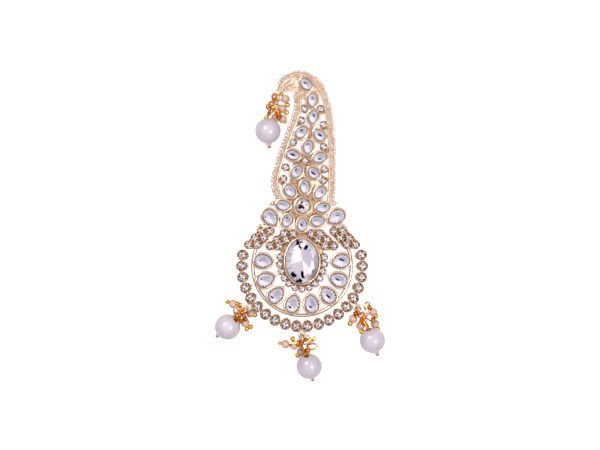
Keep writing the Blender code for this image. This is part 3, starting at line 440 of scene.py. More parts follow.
def cup(pile: Pile, outline: Outline, spot: Matrix, growth: float, height: float, steps: int = 48) -> None:
    """Add a setting: a rounded rim outside, finish 0, and its inner wall, finish 1, a darker metal that is
    painted shade.

    Args:
        pile: where it is added.
        outline: the stone's outline.
        spot: places it, its back at height 0.
        growth: how far its outside lies from the stone.
        height: how high its rim stands.
        steps: points round it.
    """
    rim = growth - CUP_CLEAR
    outer = [(0.88 * growth, 0.0), (growth, 0.25 * height), (growth, height - 0.35 * rim)]
    outer += [(growth - across * rim, height - down * rim) for across, down in CUP_ROUNDING]
    inner = [outer[-1], (CUP_CLEAR, height - 0.4 * rim), (CUP_CLEAR - 0.02 * MM, height - CUP_DEPTH)]
    pile.loft([outline.loop(steps, level, grow) for grow, level in outer], spot, high_cap=False)
    pile.loft([outline.loop(steps, level, grow) for grow, level in inner], spot, 1, low_cap=False)


# ---- node trees ---------------------------------------------------------------------------------


SOCKETS = {"value": "NodeSocketFloat", "colour": "NodeSocketColor", "geometry": "NodeSocketGeometry",
           "object": "NodeSocketObject", "material": "NodeSocketMaterial", "whole": "NodeSocketInt"}
MIX_INPUTS = (0, 6, 7)
MIX_COLOUR = 2
GRAIN_SCALE = 2600.0
PATCH_SPAN = (0.38, 0.66)
GRAIN_SPAN = (0.3, 0.7)
CELL_SHIFT = 37.0
CLOUD_SHIFT = 11.0
GLINT_EDGE = 1.3
DARK_TONES = (0.03, 0.13)
COAT = 0.6
STONE_IOR = 1.55


class Wiring:
    """Adds nodes to one tree and links them."""

    def __init__(self, tree: NodeTree) -> None:
        """Take the tree that it works on."""
        self.tree = tree

    def node(self, kind: str, inputs: dict | None = None, **settings: object) -> Node:
        """Add one node.

        Args:
            kind: the node's type.
            inputs: a value or another node's output for each named input.
            settings: the node's own properties.

        Returns:
            The node.
        """
        made = self.tree.nodes.new(kind)
        for name, value in settings.items():
            setattr(made, name, value)
        for name, value in (inputs or {}).items():
            self.fill(made, name, value)
        return made

    def fill(self, node: Node, name: str | int, value: object) -> None:
        """Set one input, or link it where the value is another node's output."""
        if isinstance(value, NodeSocket):
            self.tree.links.new(value, node.inputs[name])
        else:
            node.inputs[name].default_value = value

    def leave(self, node: Node, **outputs: NodeSocket) -> None:
        """Link a group's results to its output node."""
        for name, socket in outputs.items():
            self.tree.links.new(socket, node.inputs[name])

    def ramp(self, value: NodeSocket, stops: Sequence[tuple[float, Sequence[float]]]) -> NodeSocket:
        """A colour ramp over a value; each stop is a position and a colour."""
        made = self.node("ShaderNodeValToRGB", {0: value})
        elements = made.color_ramp.elements
        while len(elements) < len(stops):
            elements.new(0.5)
        for element, (position, colour) in zip(elements, stops):
            element.position = position
            element.color = (*colour, 1.0)
        return made.outputs["Color"]

    def mix(self, share: NodeSocket, *colours: NodeSocket | Sequence[float]) -> NodeSocket:
        """The second colour mixed into the first."""
        made = self.node("ShaderNodeMix", data_type="RGBA")
        for index, value in zip(MIX_INPUTS, (share, *colours)):
            self.fill(made, index, value if isinstance(value, NodeSocket) else (*value, 1.0))
        return made.outputs[MIX_COLOUR]

    def maths(self, operation: str, *values: object) -> NodeSocket:
        """The result of a sum on one, two or three values."""
        return self.node("ShaderNodeMath", dict(enumerate(values)), operation=operation).outputs[0]

    def spread(self, value: NodeSocket, source: Sequence[object], target: Sequence[object]) -> NodeSocket:
        """A value taken from one range to another."""
        return self.node("ShaderNodeMapRange", dict(enumerate((value, *source, *target)))).outputs[0]


def new_group(name: str, kind: str, inputs: dict[str, str],
              outputs: dict[str, str]) -> tuple[Wiring, dict[str, NodeSocket], Node]:
    """A node group with named sockets.

    Args:
        name: the group's name.
        kind: the type of its tree.
        inputs: each input's name and kind of socket.
        outputs: each output's name and kind of socket.

    Returns:
        Its wiring, its inputs by name, and its output node.
    """
    tree = bpy.data.node_groups.new(name, kind)
    for names, way in ((inputs, "INPUT"), (outputs, "OUTPUT")):
        for socket, sort in names.items():
            tree.interface.new_socket(socket, in_out=way, socket_type=SOCKETS[sort])
    wiring = Wiring(tree)
    entry = wiring.node("NodeGroupInput")
    return wiring, {socket: entry.outputs[socket] for socket in inputs}, wiring.node("NodeGroupOutput")


def cast_surface() -> NodeTree:
    """Shared look of cast and drawn metal: tint, gloss and fine unevenness over the surface."""
    wiring, entry, leave = new_group(
        "cast_surface", "ShaderNodeTree",
        {"Light": "colour", "Warm": "colour", "Patch Size": "value", "Gloss Low": "value",
         "Gloss High": "value"},
        {"Color": "colour", "Roughness": "value", "Height": "value"})
    place = wiring.node("ShaderNodeTexCoord").outputs["Object"]
    broad = wiring.node("ShaderNodeTexNoise", {"Vector": place, "Scale": entry["Patch Size"], "Detail": 3.0})
    fine = wiring.node("ShaderNodeTexNoise", {"Vector": place, "Scale": GRAIN_SCALE, "Detail": 2.0})
    share = wiring.spread(broad.outputs[0], PATCH_SPAN, (0.0, 1.0))
    gloss = wiring.spread(fine.outputs[0], GRAIN_SPAN, (entry["Gloss Low"], entry["Gloss High"]))
    wiring.leave(leave, Color=wiring.mix(share, entry["Light"], entry["Warm"]), Roughness=gloss,
                 Height=fine.outputs[0])
    return wiring.tree


def stone_play() -> NodeTree:
    """Shared look inside a cut stone: a tone for each facet, and dark glints in its depth."""
    wiring, entry, leave = new_group(
        "stone_play", "ShaderNodeTree",
        {"Glint Scale": "value", "Glint Size": "value", "Variety": "value"},
        {"Tone": "value", "Glint": "value"})
    place, mark, tone = (
        wiring.node("ShaderNodeAttribute", attribute_name=name).outputs[output]
        for name, output in (("stone_place", "Vector"), ("stone_mark", "Fac"), ("facet_tone", "Fac")))
    turned = wiring.node("ShaderNodeVectorRotate", {
        "Vector": place, "Angle": wiring.maths("MULTIPLY", mark, 6.283)}, rotation_type="Z_AXIS").outputs[0]
    cells = wiring.node("ShaderNodeTexVoronoi", {
        "Vector": turned, "W": wiring.maths("MULTIPLY", mark, CELL_SHIFT), "Scale": entry["Glint Scale"]},
        voronoi_dimensions="4D")
    cloud = wiring.node("ShaderNodeTexNoise", {
        "Vector": turned, "W": wiring.maths("MULTIPLY", mark, CLOUD_SHIFT), "Scale": 1.6, "Detail": 1.0},
        noise_dimensions="4D")
    far = wiring.maths("MULTIPLY", entry["Glint Size"], GLINT_EDGE)
    glint = wiring.spread(cells.outputs["Distance"], (far, entry["Glint Size"]), (0.0, 1.0))
    swing = wiring.maths("SUBTRACT", cloud.outputs[0], 0.5)
    sway = wiring.maths("MULTIPLY_ADD", swing, entry["Variety"], 1.0)
    wiring.leave(leave, Tone=wiring.maths("MULTIPLY", tone, sway), Glint=glint)
    return wiring.tree


def bead_row() -> NodeTree:
    """Balls strung along a curve, each a little flattened."""
    wiring, entry, leave = new_group(
        "bead_row", "GeometryNodeTree",
        {"Geometry": "geometry", "Bead Diameter": "value", "Pitch": "value", "Stretch": "value",
         "Finish": "material"}, {"Geometry": "geometry"})
    line = wiring.node("GeometryNodeResampleCurve", {"Curve": entry["Geometry"], "Length": entry["Pitch"]},
                       mode="LENGTH")
    radius = wiring.maths("MULTIPLY", entry["Bead Diameter"], 0.5)
    ball = wiring.node("GeometryNodeMeshUVSphere", {"Segments": 12, "Rings": 8, "Radius": radius})
    tangent = wiring.node("GeometryNodeInputTangent")
    turn = wiring.node("FunctionNodeAlignRotationToVector", {"Vector": tangent.outputs[0]}, axis="X")
    size = wiring.node("ShaderNodeCombineXYZ", {0: entry["Stretch"], 1: 1.0, 2: 0.9})
    strung = wiring.node("GeometryNodeInstanceOnPoints", {
        "Points": line.outputs[0], "Instance": ball.outputs[0], "Rotation": turn.outputs[0],
        "Scale": size.outputs[0]})
    finish_geometry(wiring, strung.outputs[0], entry["Finish"], leave, smooth=True)
    return wiring.tree


def setting_row() -> NodeTree:
    """Copies of one pattern on points, each turned by the point's own angle and marked."""
    wiring, entry, leave = new_group(
        "setting_row", "GeometryNodeTree",
        {"Geometry": "geometry", "Pattern": "object", "Finish": "material", "Seed": "whole"},
        {"Geometry": "geometry"})
    pattern = wiring.node("GeometryNodeObjectInfo", {"Object": entry["Pattern"]})
    turn = wiring.node("GeometryNodeInputNamedAttribute", {"Name": "turn"}, data_type="FLOAT")
    angles = wiring.node("ShaderNodeCombineXYZ", {2: turn.outputs[0]})
    rotation = wiring.node("FunctionNodeEulerToRotation", {0: angles.outputs[0]})
    placed = wiring.node("GeometryNodeInstanceOnPoints", {
        "Points": entry["Geometry"], "Instance": pattern.outputs["Geometry"],
        "Rotation": rotation.outputs[0]})
    chance = wiring.node("FunctionNodeRandomValue", {"Seed": entry["Seed"]}, data_type="FLOAT")
    marked = wiring.node("GeometryNodeStoreNamedAttribute", {
        "Geometry": placed.outputs[0], "Name": "setting_mark", "Value": chance.outputs[1]},
        data_type="FLOAT", domain="INSTANCE")
    finish_geometry(wiring, marked.outputs[0], entry["Finish"], leave, smooth=False)
    return wiring.tree


def finish_geometry(wiring: Wiring, geometry: NodeSocket, finish: NodeSocket, leave: Node,
                    smooth: bool) -> None:
    """End a geometry tree: real copies, shading and material."""
    real = wiring.node("GeometryNodeRealizeInstances", {"Geometry": geometry}).outputs[0]
    if smooth:
        real = wiring.node("GeometryNodeSetShadeSmooth", {"Geometry": real}).outputs[0]
    dressed = wiring.node("GeometryNodeSetMaterial", {"Geometry": real, "Material": finish})
    wiring.leave(leave, Geometry=dressed.outputs[0])


def placed_object(name: str, data: bpy.types.ID) -> bpy.types.Object:
    """A new object in the scene."""
    thing = bpy.data.objects.new(name, data)
    bpy.context.scene.collection.objects.link(thing)
    return thing


def grown(tree: NodeTree, base: bpy.types.ID, values: dict[str, object], name: str) -> Mesh:
    """The plain mesh that a geometry tree makes.

    Args:
        tree: the tree.
        base: the curve or mesh that it starts from.
        values: a value for each of its named inputs.
        name: the mesh's name.

    Returns:
        The mesh, its copies made real.
    """
    thing = placed_object(name, base)
    modifier = thing.modifiers.new("rows", "NODES")
    modifier.node_group = tree
    for item in tree.interface.items_tree:
        if item.in_out == "INPUT" and item.name in values:
            modifier[item.identifier] = values[item.name]
    thing.update_tag()
    depsgraph = bpy.context.evaluated_depsgraph_get()
    mesh = bpy.data.meshes.new_from_object(thing.evaluated_get(depsgraph), depsgraph=depsgraph)
    thing.modifiers.clear()
    bpy.data.objects.remove(thing)
    mesh.name = name
    return mesh


# ---- finishes -----------------------------------------------------------------------------------


Colour = tuple[float, float, float]


def new_material(name: str) -> tuple[Material, Wiring, Node]:
    """A material with its wiring and its shader."""
    material = bpy.data.materials.new(name)
    material.use_nodes = True
    return material, Wiring(material.node_tree), material.node_tree.nodes["Principled BSDF"]


def set_inputs(wiring: Wiring, shader: Node, **values: object) -> None:
    """Set or link a shader's inputs; an underscore in a name stands for a space."""
    for name, value in values.items():
        wiring.fill(shader, name.replace("_", " "), value)


@dataclass(frozen=True)
class GoldFinish:
    """Plated metal, cast or drawn."""

    name: str
    light: Colour
    warm: Colour
    gloss: tuple[float, float]
    patch: float = 420.0
    bump: float = 0.12

    def material(self, surface: NodeTree) -> Material:
        """The finish as a material, from the shared cast surface."""
        material, wiring, shader = new_material(self.name)
        group = wiring.node("ShaderNodeGroup", node_tree=surface)
        set_inputs(wiring, group, Light=(*self.light, 1.0), Warm=(*self.warm, 1.0), Patch_Size=self.patch,
                   Gloss_Low=self.gloss[0], Gloss_High=self.gloss[1])
        bump = wiring.node("ShaderNodeBump", {"Strength": self.bump, "Distance": 0.05 * MM,
                                              "Height": group.outputs["Height"]})
        set_inputs(wiring, shader, Base_Color=group.outputs["Color"], Roughness=group.outputs["Roughness"],
                   Normal=bump.outputs[0], Metallic=1.0)
        return material


@dataclass(frozen=True)
class StoneFinish:
    """A cut stone with a foil or a mirror behind it; its darkest facets neither shine nor glint."""

    name: str
    tones: tuple[tuple[float, Colour], ...]
    dark: Colour
    glint_scale: float
    glint_size: float
    variety: float = 0.5
    metallic: float = 0.3
    roughness: float = 0.1

    def material(self, play: NodeTree) -> Material:
        """The finish as a material, from the shared play of a stone."""
        material, wiring, shader = new_material(self.name)
        group = wiring.node("ShaderNodeGroup", node_tree=play)
        set_inputs(wiring, group, Glint_Scale=self.glint_scale, Glint_Size=self.glint_size,
                   Variety=self.variety)
        tone = group.outputs["Tone"]
        colour = wiring.mix(group.outputs["Glint"], wiring.ramp(tone, self.tones), self.dark)
        set_inputs(wiring, shader, Base_Color=colour, IOR=STONE_IOR, Coat_Roughness=0.03,
                   Roughness=wiring.spread(tone, (0.0, 1.0), (self.roughness, 2.0 * self.roughness)),
                   Metallic=wiring.spread(tone, DARK_TONES, (1.0, self.metallic)),
                   Coat_Weight=wiring.spread(tone, DARK_TONES, (0.0, COAT)))
        return material


@dataclass(frozen=True)
class PearlFinish:
    """Pearly or milky beads."""

    name: str
    light: Colour
    shade: Colour
    scale: float
    roughness: float
    subsurface: float

    def material(self) -> Material:
        """The finish as a material."""
        material, wiring, shader = new_material(self.name)
        place = wiring.node("ShaderNodeTexCoord").outputs["Object"]
        cloud = wiring.node("ShaderNodeTexNoise", {"Vector": place, "Scale": self.scale, "Detail": 2.0,
                                                   "Distortion": 0.6}).outputs[0]
        share = wiring.spread(cloud, (0.35, 0.68), (0.0, 1.0))
        gloss = wiring.spread(cloud, (0.0, 1.0), (self.roughness, 1.4 * self.roughness))
        set_inputs(wiring, shader, Base_Color=wiring.mix(share, self.shade, self.light), Roughness=gloss,
                   Coat_Weight=0.7, Coat_Roughness=0.22, Subsurface_Weight=self.subsurface,
                   Subsurface_Scale=1.2 * MM, Sheen_Weight=0.15)
        return material


CAST_GLOSS = (0.2, 0.32)
ROUGH_GLOSS = (0.3, 0.45)
BRIGHT_GLOSS = (0.2, 0.34)
PALE_GOLD = GoldFinish("pale_gold_cast", (0.88, 0.71, 0.58), (0.72, 0.51, 0.36), CAST_GLOSS)
# Painted shade: the rims of the settings wear a darker copy of the pale cast gold.
SHADED_BEZEL_GOLD = GoldFinish("bezel_gold", (0.78, 0.59, 0.45), (0.60, 0.40, 0.27), CAST_GLOSS)
# Painted shade, lighter: a darker copy of the cast gold for the borders' channel, the wide wing ledges and
# the tip plates.
SHADED_GROOVE_GOLD = GoldFinish("groove_gold", (0.76, 0.58, 0.44), (0.56, 0.36, 0.22), ROUGH_GLOSS, 900.0, 0.5)
# Painted shade: a darker brown copy of the cast gold for the plates and bars behind the settings, the flange
# and spine behind the halo, and the inner walls of the drop settings.
SHADED_PLATE_GOLD = GoldFinish("plate_gold", (0.60, 0.42, 0.29), (0.36, 0.17, 0.07), ROUGH_GLOSS, 900.0, 0.5)
# Painted shade: a dark brown copy of the cast gold for the insides of the oval setting and of the chatons,
# the crescents under the rim's cups and the upper wing ledges.
HOLLOW_SHADE_GOLD = GoldFinish("hollow_gold", (0.30, 0.16, 0.09), (0.12, 0.05, 0.025), (0.35, 0.5), 700.0)
DEEP_GOLD = GoldFinish("deep_gold_wire", (0.90, 0.40, 0.06), (0.52, 0.15, 0.03), (0.12, 0.24), 700.0, 0.05)
BALL_GOLD = GoldFinish("ball_gold", (0.98, 0.60, 0.10), (0.72, 0.36, 0.05), (0.14, 0.26), 700.0, 0.05)
# Painted highlight: the border's outer beads wear a near-white copy of the gold, as if lit.
LIT_BORDER_GOLD = GoldFinish("border_bead_gold", (0.97, 0.91, 0.90), (0.80, 0.68, 0.67), (0.16, 0.3), 620.0)
ROPE_GOLD = GoldFinish("border_rope_gold", (0.96, 0.84, 0.72), (0.84, 0.64, 0.47), BRIGHT_GLOSS, 620.0)
CLAW_GOLD = GoldFinish("claw_gold", (0.86, 0.58, 0.26), (0.55, 0.28, 0.10), BRIGHT_GLOSS, 620.0)
FOILED = StoneFinish(
    "foiled_drop", ((0.0, (0.006, 0.006, 0.02)), (0.12, (0.08, 0.08, 0.12)), (0.3, (0.31, 0.285, 0.38)),
                    (0.6, (0.48, 0.44, 0.55)), (0.95, (0.87, 0.82, 0.89))),
    (0.05, 0.05, 0.09), 0.9, 0.03, 0.5, 0.15, 0.12)
CLEAR = StoneFinish(
    "clear_round", ((0.0, (0.02, 0.008, 0.01)), (0.15, (0.10, 0.055, 0.06)), (0.4, (0.33, 0.24, 0.26)),
                    (0.9, (0.80, 0.69, 0.71))), (0.03, 0.012, 0.014), 1.6, 0.26, 0.8, 0.2)
BRIGHT = StoneFinish(
    "clear_bright", ((0.0, (0.03, 0.012, 0.015)), (0.15, (0.12, 0.07, 0.08)), (0.4, (0.41, 0.32, 0.35)),
                     (0.9, (0.84, 0.75, 0.79))), (0.05, 0.02, 0.025), 1.6, 0.18, 0.8, 0.2)
OVAL_CUT = StoneFinish(
    "clear_oval", ((0.0, (0.002, 0.002, 0.008)), (0.2, (0.15, 0.12, 0.16)), (0.45, (0.44, 0.39, 0.49)),
                   (0.7, (0.68, 0.63, 0.72)), (0.95, (0.94, 0.89, 0.90))),
    (0.01, 0.01, 0.02), 3.2, 0.05, 0.25, 0.1, 0.05)
PEARL = PearlFinish("pearl_skin", (0.70, 0.62, 0.71), (0.58, 0.545, 0.62), 160.0, 0.24, 0.1)
MILKY = PearlFinish("milky_bead", (0.74, 0.50, 0.40), (0.58, 0.36, 0.28), 380.0, 0.2, 0.2)


class Finishes:
    """All materials and geometry trees, each made once."""

    def __init__(self) -> None:
        """Build the shared groups, the materials and the trees."""
        surface, play = cast_surface(), stone_play()
        self.pale = PALE_GOLD.material(surface)
        self.shaded_bezel = SHADED_BEZEL_GOLD.material(surface)
        self.shade = SHADED_GROOVE_GOLD.material(surface)
        self.plate = SHADED_PLATE_GOLD.material(surface)
        self.hollow_shade = HOLLOW_SHADE_GOLD.material(surface)
        self.deep = DEEP_GOLD.material(surface)
        self.ball = BALL_GOLD.material(surface)
        self.border = LIT_BORDER_GOLD.material(surface)
        self.rope = ROPE_GOLD.material(surface)
        self.claw = CLAW_GOLD.material(surface)
        self.foiled = FOILED.material(play)
        self.clear = CLEAR.material(play)
        self.bright = BRIGHT.material(play)
        self.oval = OVAL_CUT.material(play)
        self.pearl = PEARL.material()
        self.milky = MILKY.material()
        self.beads = bead_row()
        self.settings = setting_row()


def show(name: str, mesh: Mesh, materials: Sequence[Material], nodes: Sequence[str]) -> None:
    """Put a mesh into the scene as a piece of the ornament.

    Args:
        name: the piece's name.
        mesh: its mesh, already in its place.
        materials: its materials.
        nodes: the solids that it stands for.
    """
    for material in materials:
        mesh.materials.append(material)
    piece = placed_object(name, mesh)
    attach(piece, "root")
    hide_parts(*nodes)
    LOG.info("%s: %d faces", name, len(mesh.polygons))


def row_points(places: Sequence[tuple[Vector, float]], level: float) -> Mesh:
    """Points for a row of settings: each a flat place and the angle that it is turned by."""
    mesh = bpy.data.meshes.new("row points")
    mesh.from_pydata([MIDDLE + place.to_3d() + Vector((0.0, 0.0, level)) for place, _ in places], [], [])
    turns = mesh.attributes.new("turn", "FLOAT", "POINT")
    turns.data.foreach_set("value", [math.radians(angle) for _, angle in places])
    return mesh


def row_of(name: str, pattern: Pile, places: Sequence[tuple[Vector, float]], level: float, tree: NodeTree,
           material: Material, seed: int) -> Mesh:
    """One mesh with the pattern at every place, each copy with its own mark."""
    model = placed_object(f"{name} pattern", pattern.mesh(f"{name} pattern"))
    values = {"Pattern": model, "Finish": material, "Seed": seed}
    mesh = grown(tree, row_points(places, level), values, name)
    bpy.data.objects.remove(model)
    marks = [0.0] * len(mesh.vertices)
    mesh.attributes["setting_mark"].data.foreach_get("value", marks)
    mesh.attributes["stone_mark"].data.foreach_set("value", marks)
    return mesh


def curve_through(points: Sequence[Vector], level: float) -> bpy.types.Curve:
    """A curve of straight runs through flat points at a level."""
    curve = bpy.data.curves.new("row line", "CURVE")
    curve.dimensions = "3D"
    spline = curve.splines.new("POLY")
    spline.points.add(len(points) - 1)
    for point, place in zip(spline.points, points):
        point.co = (*(MIDDLE + place.to_3d() + Vector((0.0, 0.0, level))), 1.0)
    return curve


# ---- the ornament's parts -----------------------------------------------------------------------


@dataclass(frozen=True)
class Drop:
    """One drop-shaped stone in its setting.

    Its solid, its middle in mm, the way of its point, and the dark reflection painted on its stone: how
    far in mm from the middle, its length in mm and its turn.
    """

    node: str
    across: float
    up: float
    tip: float
    reflection_across: float
    reflection_up: float
    reflection_length: float
    reflection_turn: float

    @property
    def place(self) -> Vector:
        """Its middle, in metres about the disc's middle."""
        return mm(self.across, self.up)

    def dark_reflection(self, pile: Pile, level: float) -> None:
        """Add its painted dark reflection; a short one is nearly as wide as it is long."""
        spot = at(self.place + mm(self.reflection_across, self.reflection_up), level, self.reflection_turn)
        least, growth, most = REFLECTION_WIDTHS
        width = min(least + growth * self.reflection_length, most) * MM
        painted_dark_reflection(pile, spot, REFLECTION_STRETCH * self.reflection_length * MM, width)


SMALL_DROPS = (
    Drop("flower_drop_1", 1.129, 30.869, 269.7, -0.35, 1.55, 0.7, 50.0),
    Drop("flower_drop_2", -4.751, 29.388, 306.7, -1.15, 0.6, 0.5, 0.0),
    Drop("flower_drop_3", -7.296, 23.848, 354.8, -1.3, 0.6, 0.6, 20.0),
    Drop("flower_drop_4", -5.68, 17.873, 57.8, -0.25, 1.15, 0.9, 20.0),
    Drop("flower_drop_5", 0.014, 16.213, 91.6, -0.3, 0.0, 1.4, -65.0),
    Drop("flower_drop_6", 6.14, 17.616, 4.8, -1.1, 0.3, 0.6, 40.0),
    Drop("flower_drop_7", 8.102, 22.84, 183.7, 1.0, 0.8, 1.0, 25.0),
    Drop("flower_drop_8", 7.043, 28.682, 224.9, 0.75, 0.25, 0.7, 60.0),
    Drop("star_drop_1", 2.384, 46.6, 264.0, -0.25, 1.2, 0.8, 30.0),
    Drop("star_drop_2", -3.553, 43.516, 345.1, -0.2, 0.15, 2.1, -20.0),
    Drop("star_drop_3", -2.031, 36.957, 49.8, -0.35, 0.8, 0.9, 55.0),
    Drop("star_drop_4", 4.463, 36.491, 129.8, -0.15, -0.1, 2.0, -38.0),
    Drop("star_drop_5", 6.847, 42.393, 195.2, 0.05, -0.4, 1.5, 6.0),
    Drop("pair_drop_left", -0.22, 52.474, 45.0, -0.1, 0.75, 1.1, 12.0),
    Drop("pair_drop_right", 6.815, 51.268, 135.0, 0.1, 0.05, 1.6, -28.0),
    Drop("crest_drop_3", 4.336, 58.37, 262.0, 0.2, 0.55, 1.1, -50.0),
    Drop("crest_drop_2", 4.068, 65.003, 272.0, -0.1, 0.5, 0.8, 80.0),
    Drop("crest_drop_1", 1.589, 71.301, 135.0, -0.5, 0.45, 1.2, -18.0),
)
LARGE_DROPS = (
    Drop("disc_drop_1", -15.126, 1.94, 352.69, -1.2, 0.25, 0.7, 70.0),
    Drop("disc_drop_2", -14.285, -5.339, 20.49, -1.7, 0.35, 0.8, -30.0),
    Drop("disc_drop_3", -10.146, -11.386, 48.3, -1.5, -0.75, 1.5, -35.0),
    Drop("disc_drop_4", -3.664, -14.803, 76.1, -1.1, -1.15, 1.5, -30.0),
    Drop("disc_drop_5", 3.664, -14.803, 103.9, -0.4, -1.1, 1.6, -35.0),
    Drop("disc_drop_6", 10.146, -11.386, 131.7, 0.1, -0.4, 2.3, -44.0),
    Drop("disc_drop_7", 14.285, -5.339, 159.51, -0.45, 0.15, 1.9, -30.0),
    Drop("disc_drop_8", 15.126, 1.94, 187.31, 0.35, 0.6, 2.0, -24.0),
    Drop("shoulder_drop_left", -12.419, 18.993, 306.0, -1.8, 0.25, 0.6, 60.0),
    Drop("shoulder_drop_right", 13.397, 19.218, 213.0, 0.5, 0.6, 0.8, 45.0),
)
# Painted reflections: the oval's table facets are painted pale to the upper left and lower right and greyer
# elsewhere; the flower's table tones paint its reflections too.
OVAL_CUTTING = Cut(16, 0.95, 0.66, 1.9 * MM, (0.02, 0.04), (0.45, 0.9),
                   (0.5, 0.5, 0.52, 0.56, 0.86, 0.9, 0.88, 0.84, 0.62, 0.58, 0.56, 0.58, 0.86, 0.88,
                    0.58, 0.52))
FLOWER_CUTTING = Cut(16, 0.9, 0.62, 1.15 * MM, (0.1, 0.0), (0.5, 0.95),
                     (0.7, 0.9, 0.75, 0.6, 0.95, 0.75, 0.6, 0.85))
FLOWER_MIDDLE = Vector((0.45 * MM, 23.55 * MM))


@dataclass(frozen=True)
class DarkReflection:
    """A painted dark reflection on a large stone: shares of its half width and half length, sizes in mm,
    turn.
    """

    across: float
    up: float
    length: float
    width: float
    turn: float
    tone: float = 0.0


OVAL_DARK_REFLECTIONS = (
    DarkReflection(-0.24, 0.78, 3.15, 1.35, 100.0), DarkReflection(-0.12, 0.64, 1.8, 0.81, 125.0),
    DarkReflection(-0.03, 0.86, 1.05, 0.63, 20.0), DarkReflection(0.24, 0.62, 2.25, 1.35, 60.0),
    DarkReflection(-0.33, 0.73, 1.2, 0.45, 60.0), DarkReflection(-0.48, -0.59, 2.55, 2.34, 10.0),
    DarkReflection(0.02, -0.6, 3.0, 1.17, 95.0), DarkReflection(0.1, -0.72, 1.35, 0.72, 120.0),
    DarkReflection(-0.08, -0.86, 1.95, 1.26, 75.0), DarkReflection(-0.27, -0.9, 1.35, 0.81, 20.0),
    DarkReflection(0.69, -0.52, 4.2, 1.26, 68.0, 0.2), DarkReflection(0.44, 0.5, 0.9, 0.45, 40.0, 0.25))
FLOWER_DARK_REFLECTIONS = (
    DarkReflection(-0.22, 0.48, 1.2, 0.9, 60.0), DarkReflection(-0.45, 0.1, 1.05, 0.9, 0.0),
    DarkReflection(-0.3, -0.08, 1.8, 1.08, -25.0), DarkReflection(-0.5, -0.25, 1.35, 0.72, -35.0),
    DarkReflection(0.0, -0.2, 1.2, 0.9, -60.0), DarkReflection(-0.12, 0.02, 0.9, 0.72, 70.0))


@dataclass
class Bezels:
    """Settings of the drops, of the oval and of the flower's round stone, and their stones."""

    finishes: Finishes
    wall: float = 0.9 * MM
    oval_wall: float = 0.8 * MM
    oval_rise: float = 0.8 * MM
    oval_steps: int = 72
    small_crown: float = 1.15 * MM
    large_crown: float = 1.35 * MM
    oval_place: Vector = field(default_factory=lambda: Vector((0.0, OVAL_UP)))
    facets: int = 16
    painted_light_way: float = 225.0
    tone: float = 0.62
    painted_light_swing: float = 0.26
    tone_chance: float = 0.06

    def metal(self) -> None:
        """The rims round the stones: the darker gold of the rims and the inside of each setting are painted
        shade.
        """
        pile = Pile()
        for outline, drops in ((SMALL_DROP, SMALL_DROPS), (LARGE_DROP, LARGE_DROPS)):
            for drop in drops:
                cup(pile, outline, at(drop.place, BACK, drop.tip), self.wall, LIP)
        cup(pile, FLOWER_ROUND, at(FLOWER_MIDDLE, BACK), self.wall, LIP)
        show("drop_bezels", pile.mesh("drop_bezels"), (self.finishes.shaded_bezel, self.finishes.plate),
             FRAME)
        pile = Pile()
        cup(pile, OVAL, at(self.oval_place, BACK), self.oval_wall, LIP + self.oval_rise, self.oval_steps)
        show("oval_bezel", pile.mesh("oval_bezel"), (self.finishes.shaded_bezel, self.finishes.hollow_shade),
             FRAME)

    def drop_cut(self, tip: float, rise: float, seed: int) -> Cut:
        """The cut of a drop, with painted light: the facets that face the lower left are painted palest."""
        chance = random.Random(seed)
        tones = []
        for index in range(self.facets):
            way = math.radians(360.0 / self.facets * (index + 0.5) + tip)
            # Painted light: a facet is paler the more it faces the lower left.
            swing = self.painted_light_swing * math.cos(way - math.radians(self.painted_light_way))
            tones.append(self.tone + swing + chance.uniform(-self.tone_chance, self.tone_chance))
        return Cut(self.facets, 0.97, 0.7, rise, (-0.3, 0.05), (0.68, 0.84), tuple(tones), break_rise=0.86)

    def stones(self) -> None:
        """The cut stones themselves."""
        seed = 0
        level = BACK + GIRDLE
        for outline, drops, crown in ((SMALL_DROP, SMALL_DROPS, self.small_crown),
                                      (LARGE_DROP, LARGE_DROPS, self.large_crown)):
            for drop in drops:
                seed += 1
                pile = Pile()
                cutting = self.drop_cut(drop.tip, crown, seed)
                cutting.add(pile, outline, at(drop.place, level, drop.tip), STONE_BASE, seed)
                drop.dark_reflection(pile, level + crown)
                show(f"{drop.node}_cut", pile.mesh(drop.node), (self.finishes.foiled,),
                     [drop.node])
        self.large_stone("oval_crystal", OVAL, at(self.oval_place, level + self.oval_rise), OVAL_CUTTING,
                         OVAL_DARK_REFLECTIONS, 12, self.finishes.oval)
        self.large_stone("flower_crystal", FLOWER_ROUND, at(FLOWER_MIDDLE, level), FLOWER_CUTTING,
                         FLOWER_DARK_REFLECTIONS, 5, self.finishes.clear)

    def large_stone(self, node: str, outline: Outline, spot: Matrix, cutting: Cut,
                    dark_reflections: Sequence[DarkReflection], seed: int, finish: Material) -> None:
        """One of the two large clear stones with its painted dark reflections."""
        pile = Pile()
        cutting.add(pile, outline, spot, STONE_BASE, seed)
        for dark_reflection in dark_reflections:
            place = Vector((dark_reflection.across * outline.length / 2, dark_reflection.up * outline.width / 2,
                            cutting.crown(math.hypot(dark_reflection.across, dark_reflection.up))))
            turned = Matrix.Translation(place) @ Matrix.Rotation(math.radians(dark_reflection.turn), 4, "Z")
            painted_dark_reflection(pile, spot @ turned, dark_reflection.length * MM, dark_reflection.width * MM, dark_reflection.tone)
        show(f"{node}_cut", pile.mesh(f"{node}_cut"), (finish,), [node])


CHATON_RIM = ((0.9, 0.0), (1.0, 0.3), (1.0, 0.74), (0.85, 0.88), (0.62, 0.93), (0.4, 0.88), (0.34, 0.7))
CHATON_HOLLOW = ((0.36, 0.3), (0.36, 0.74), (0.2, 0.8))
# Painted reflections: the chatons' table facets are painted bright or dim, and some edge facets near black.
CHATON_TONES = (0.6, 0.95, 0.4, 0.85, 1.0, 0.5, 0.9, 0.45)
CHATON_DARK_EDGES = (2, 9, 18, 26)


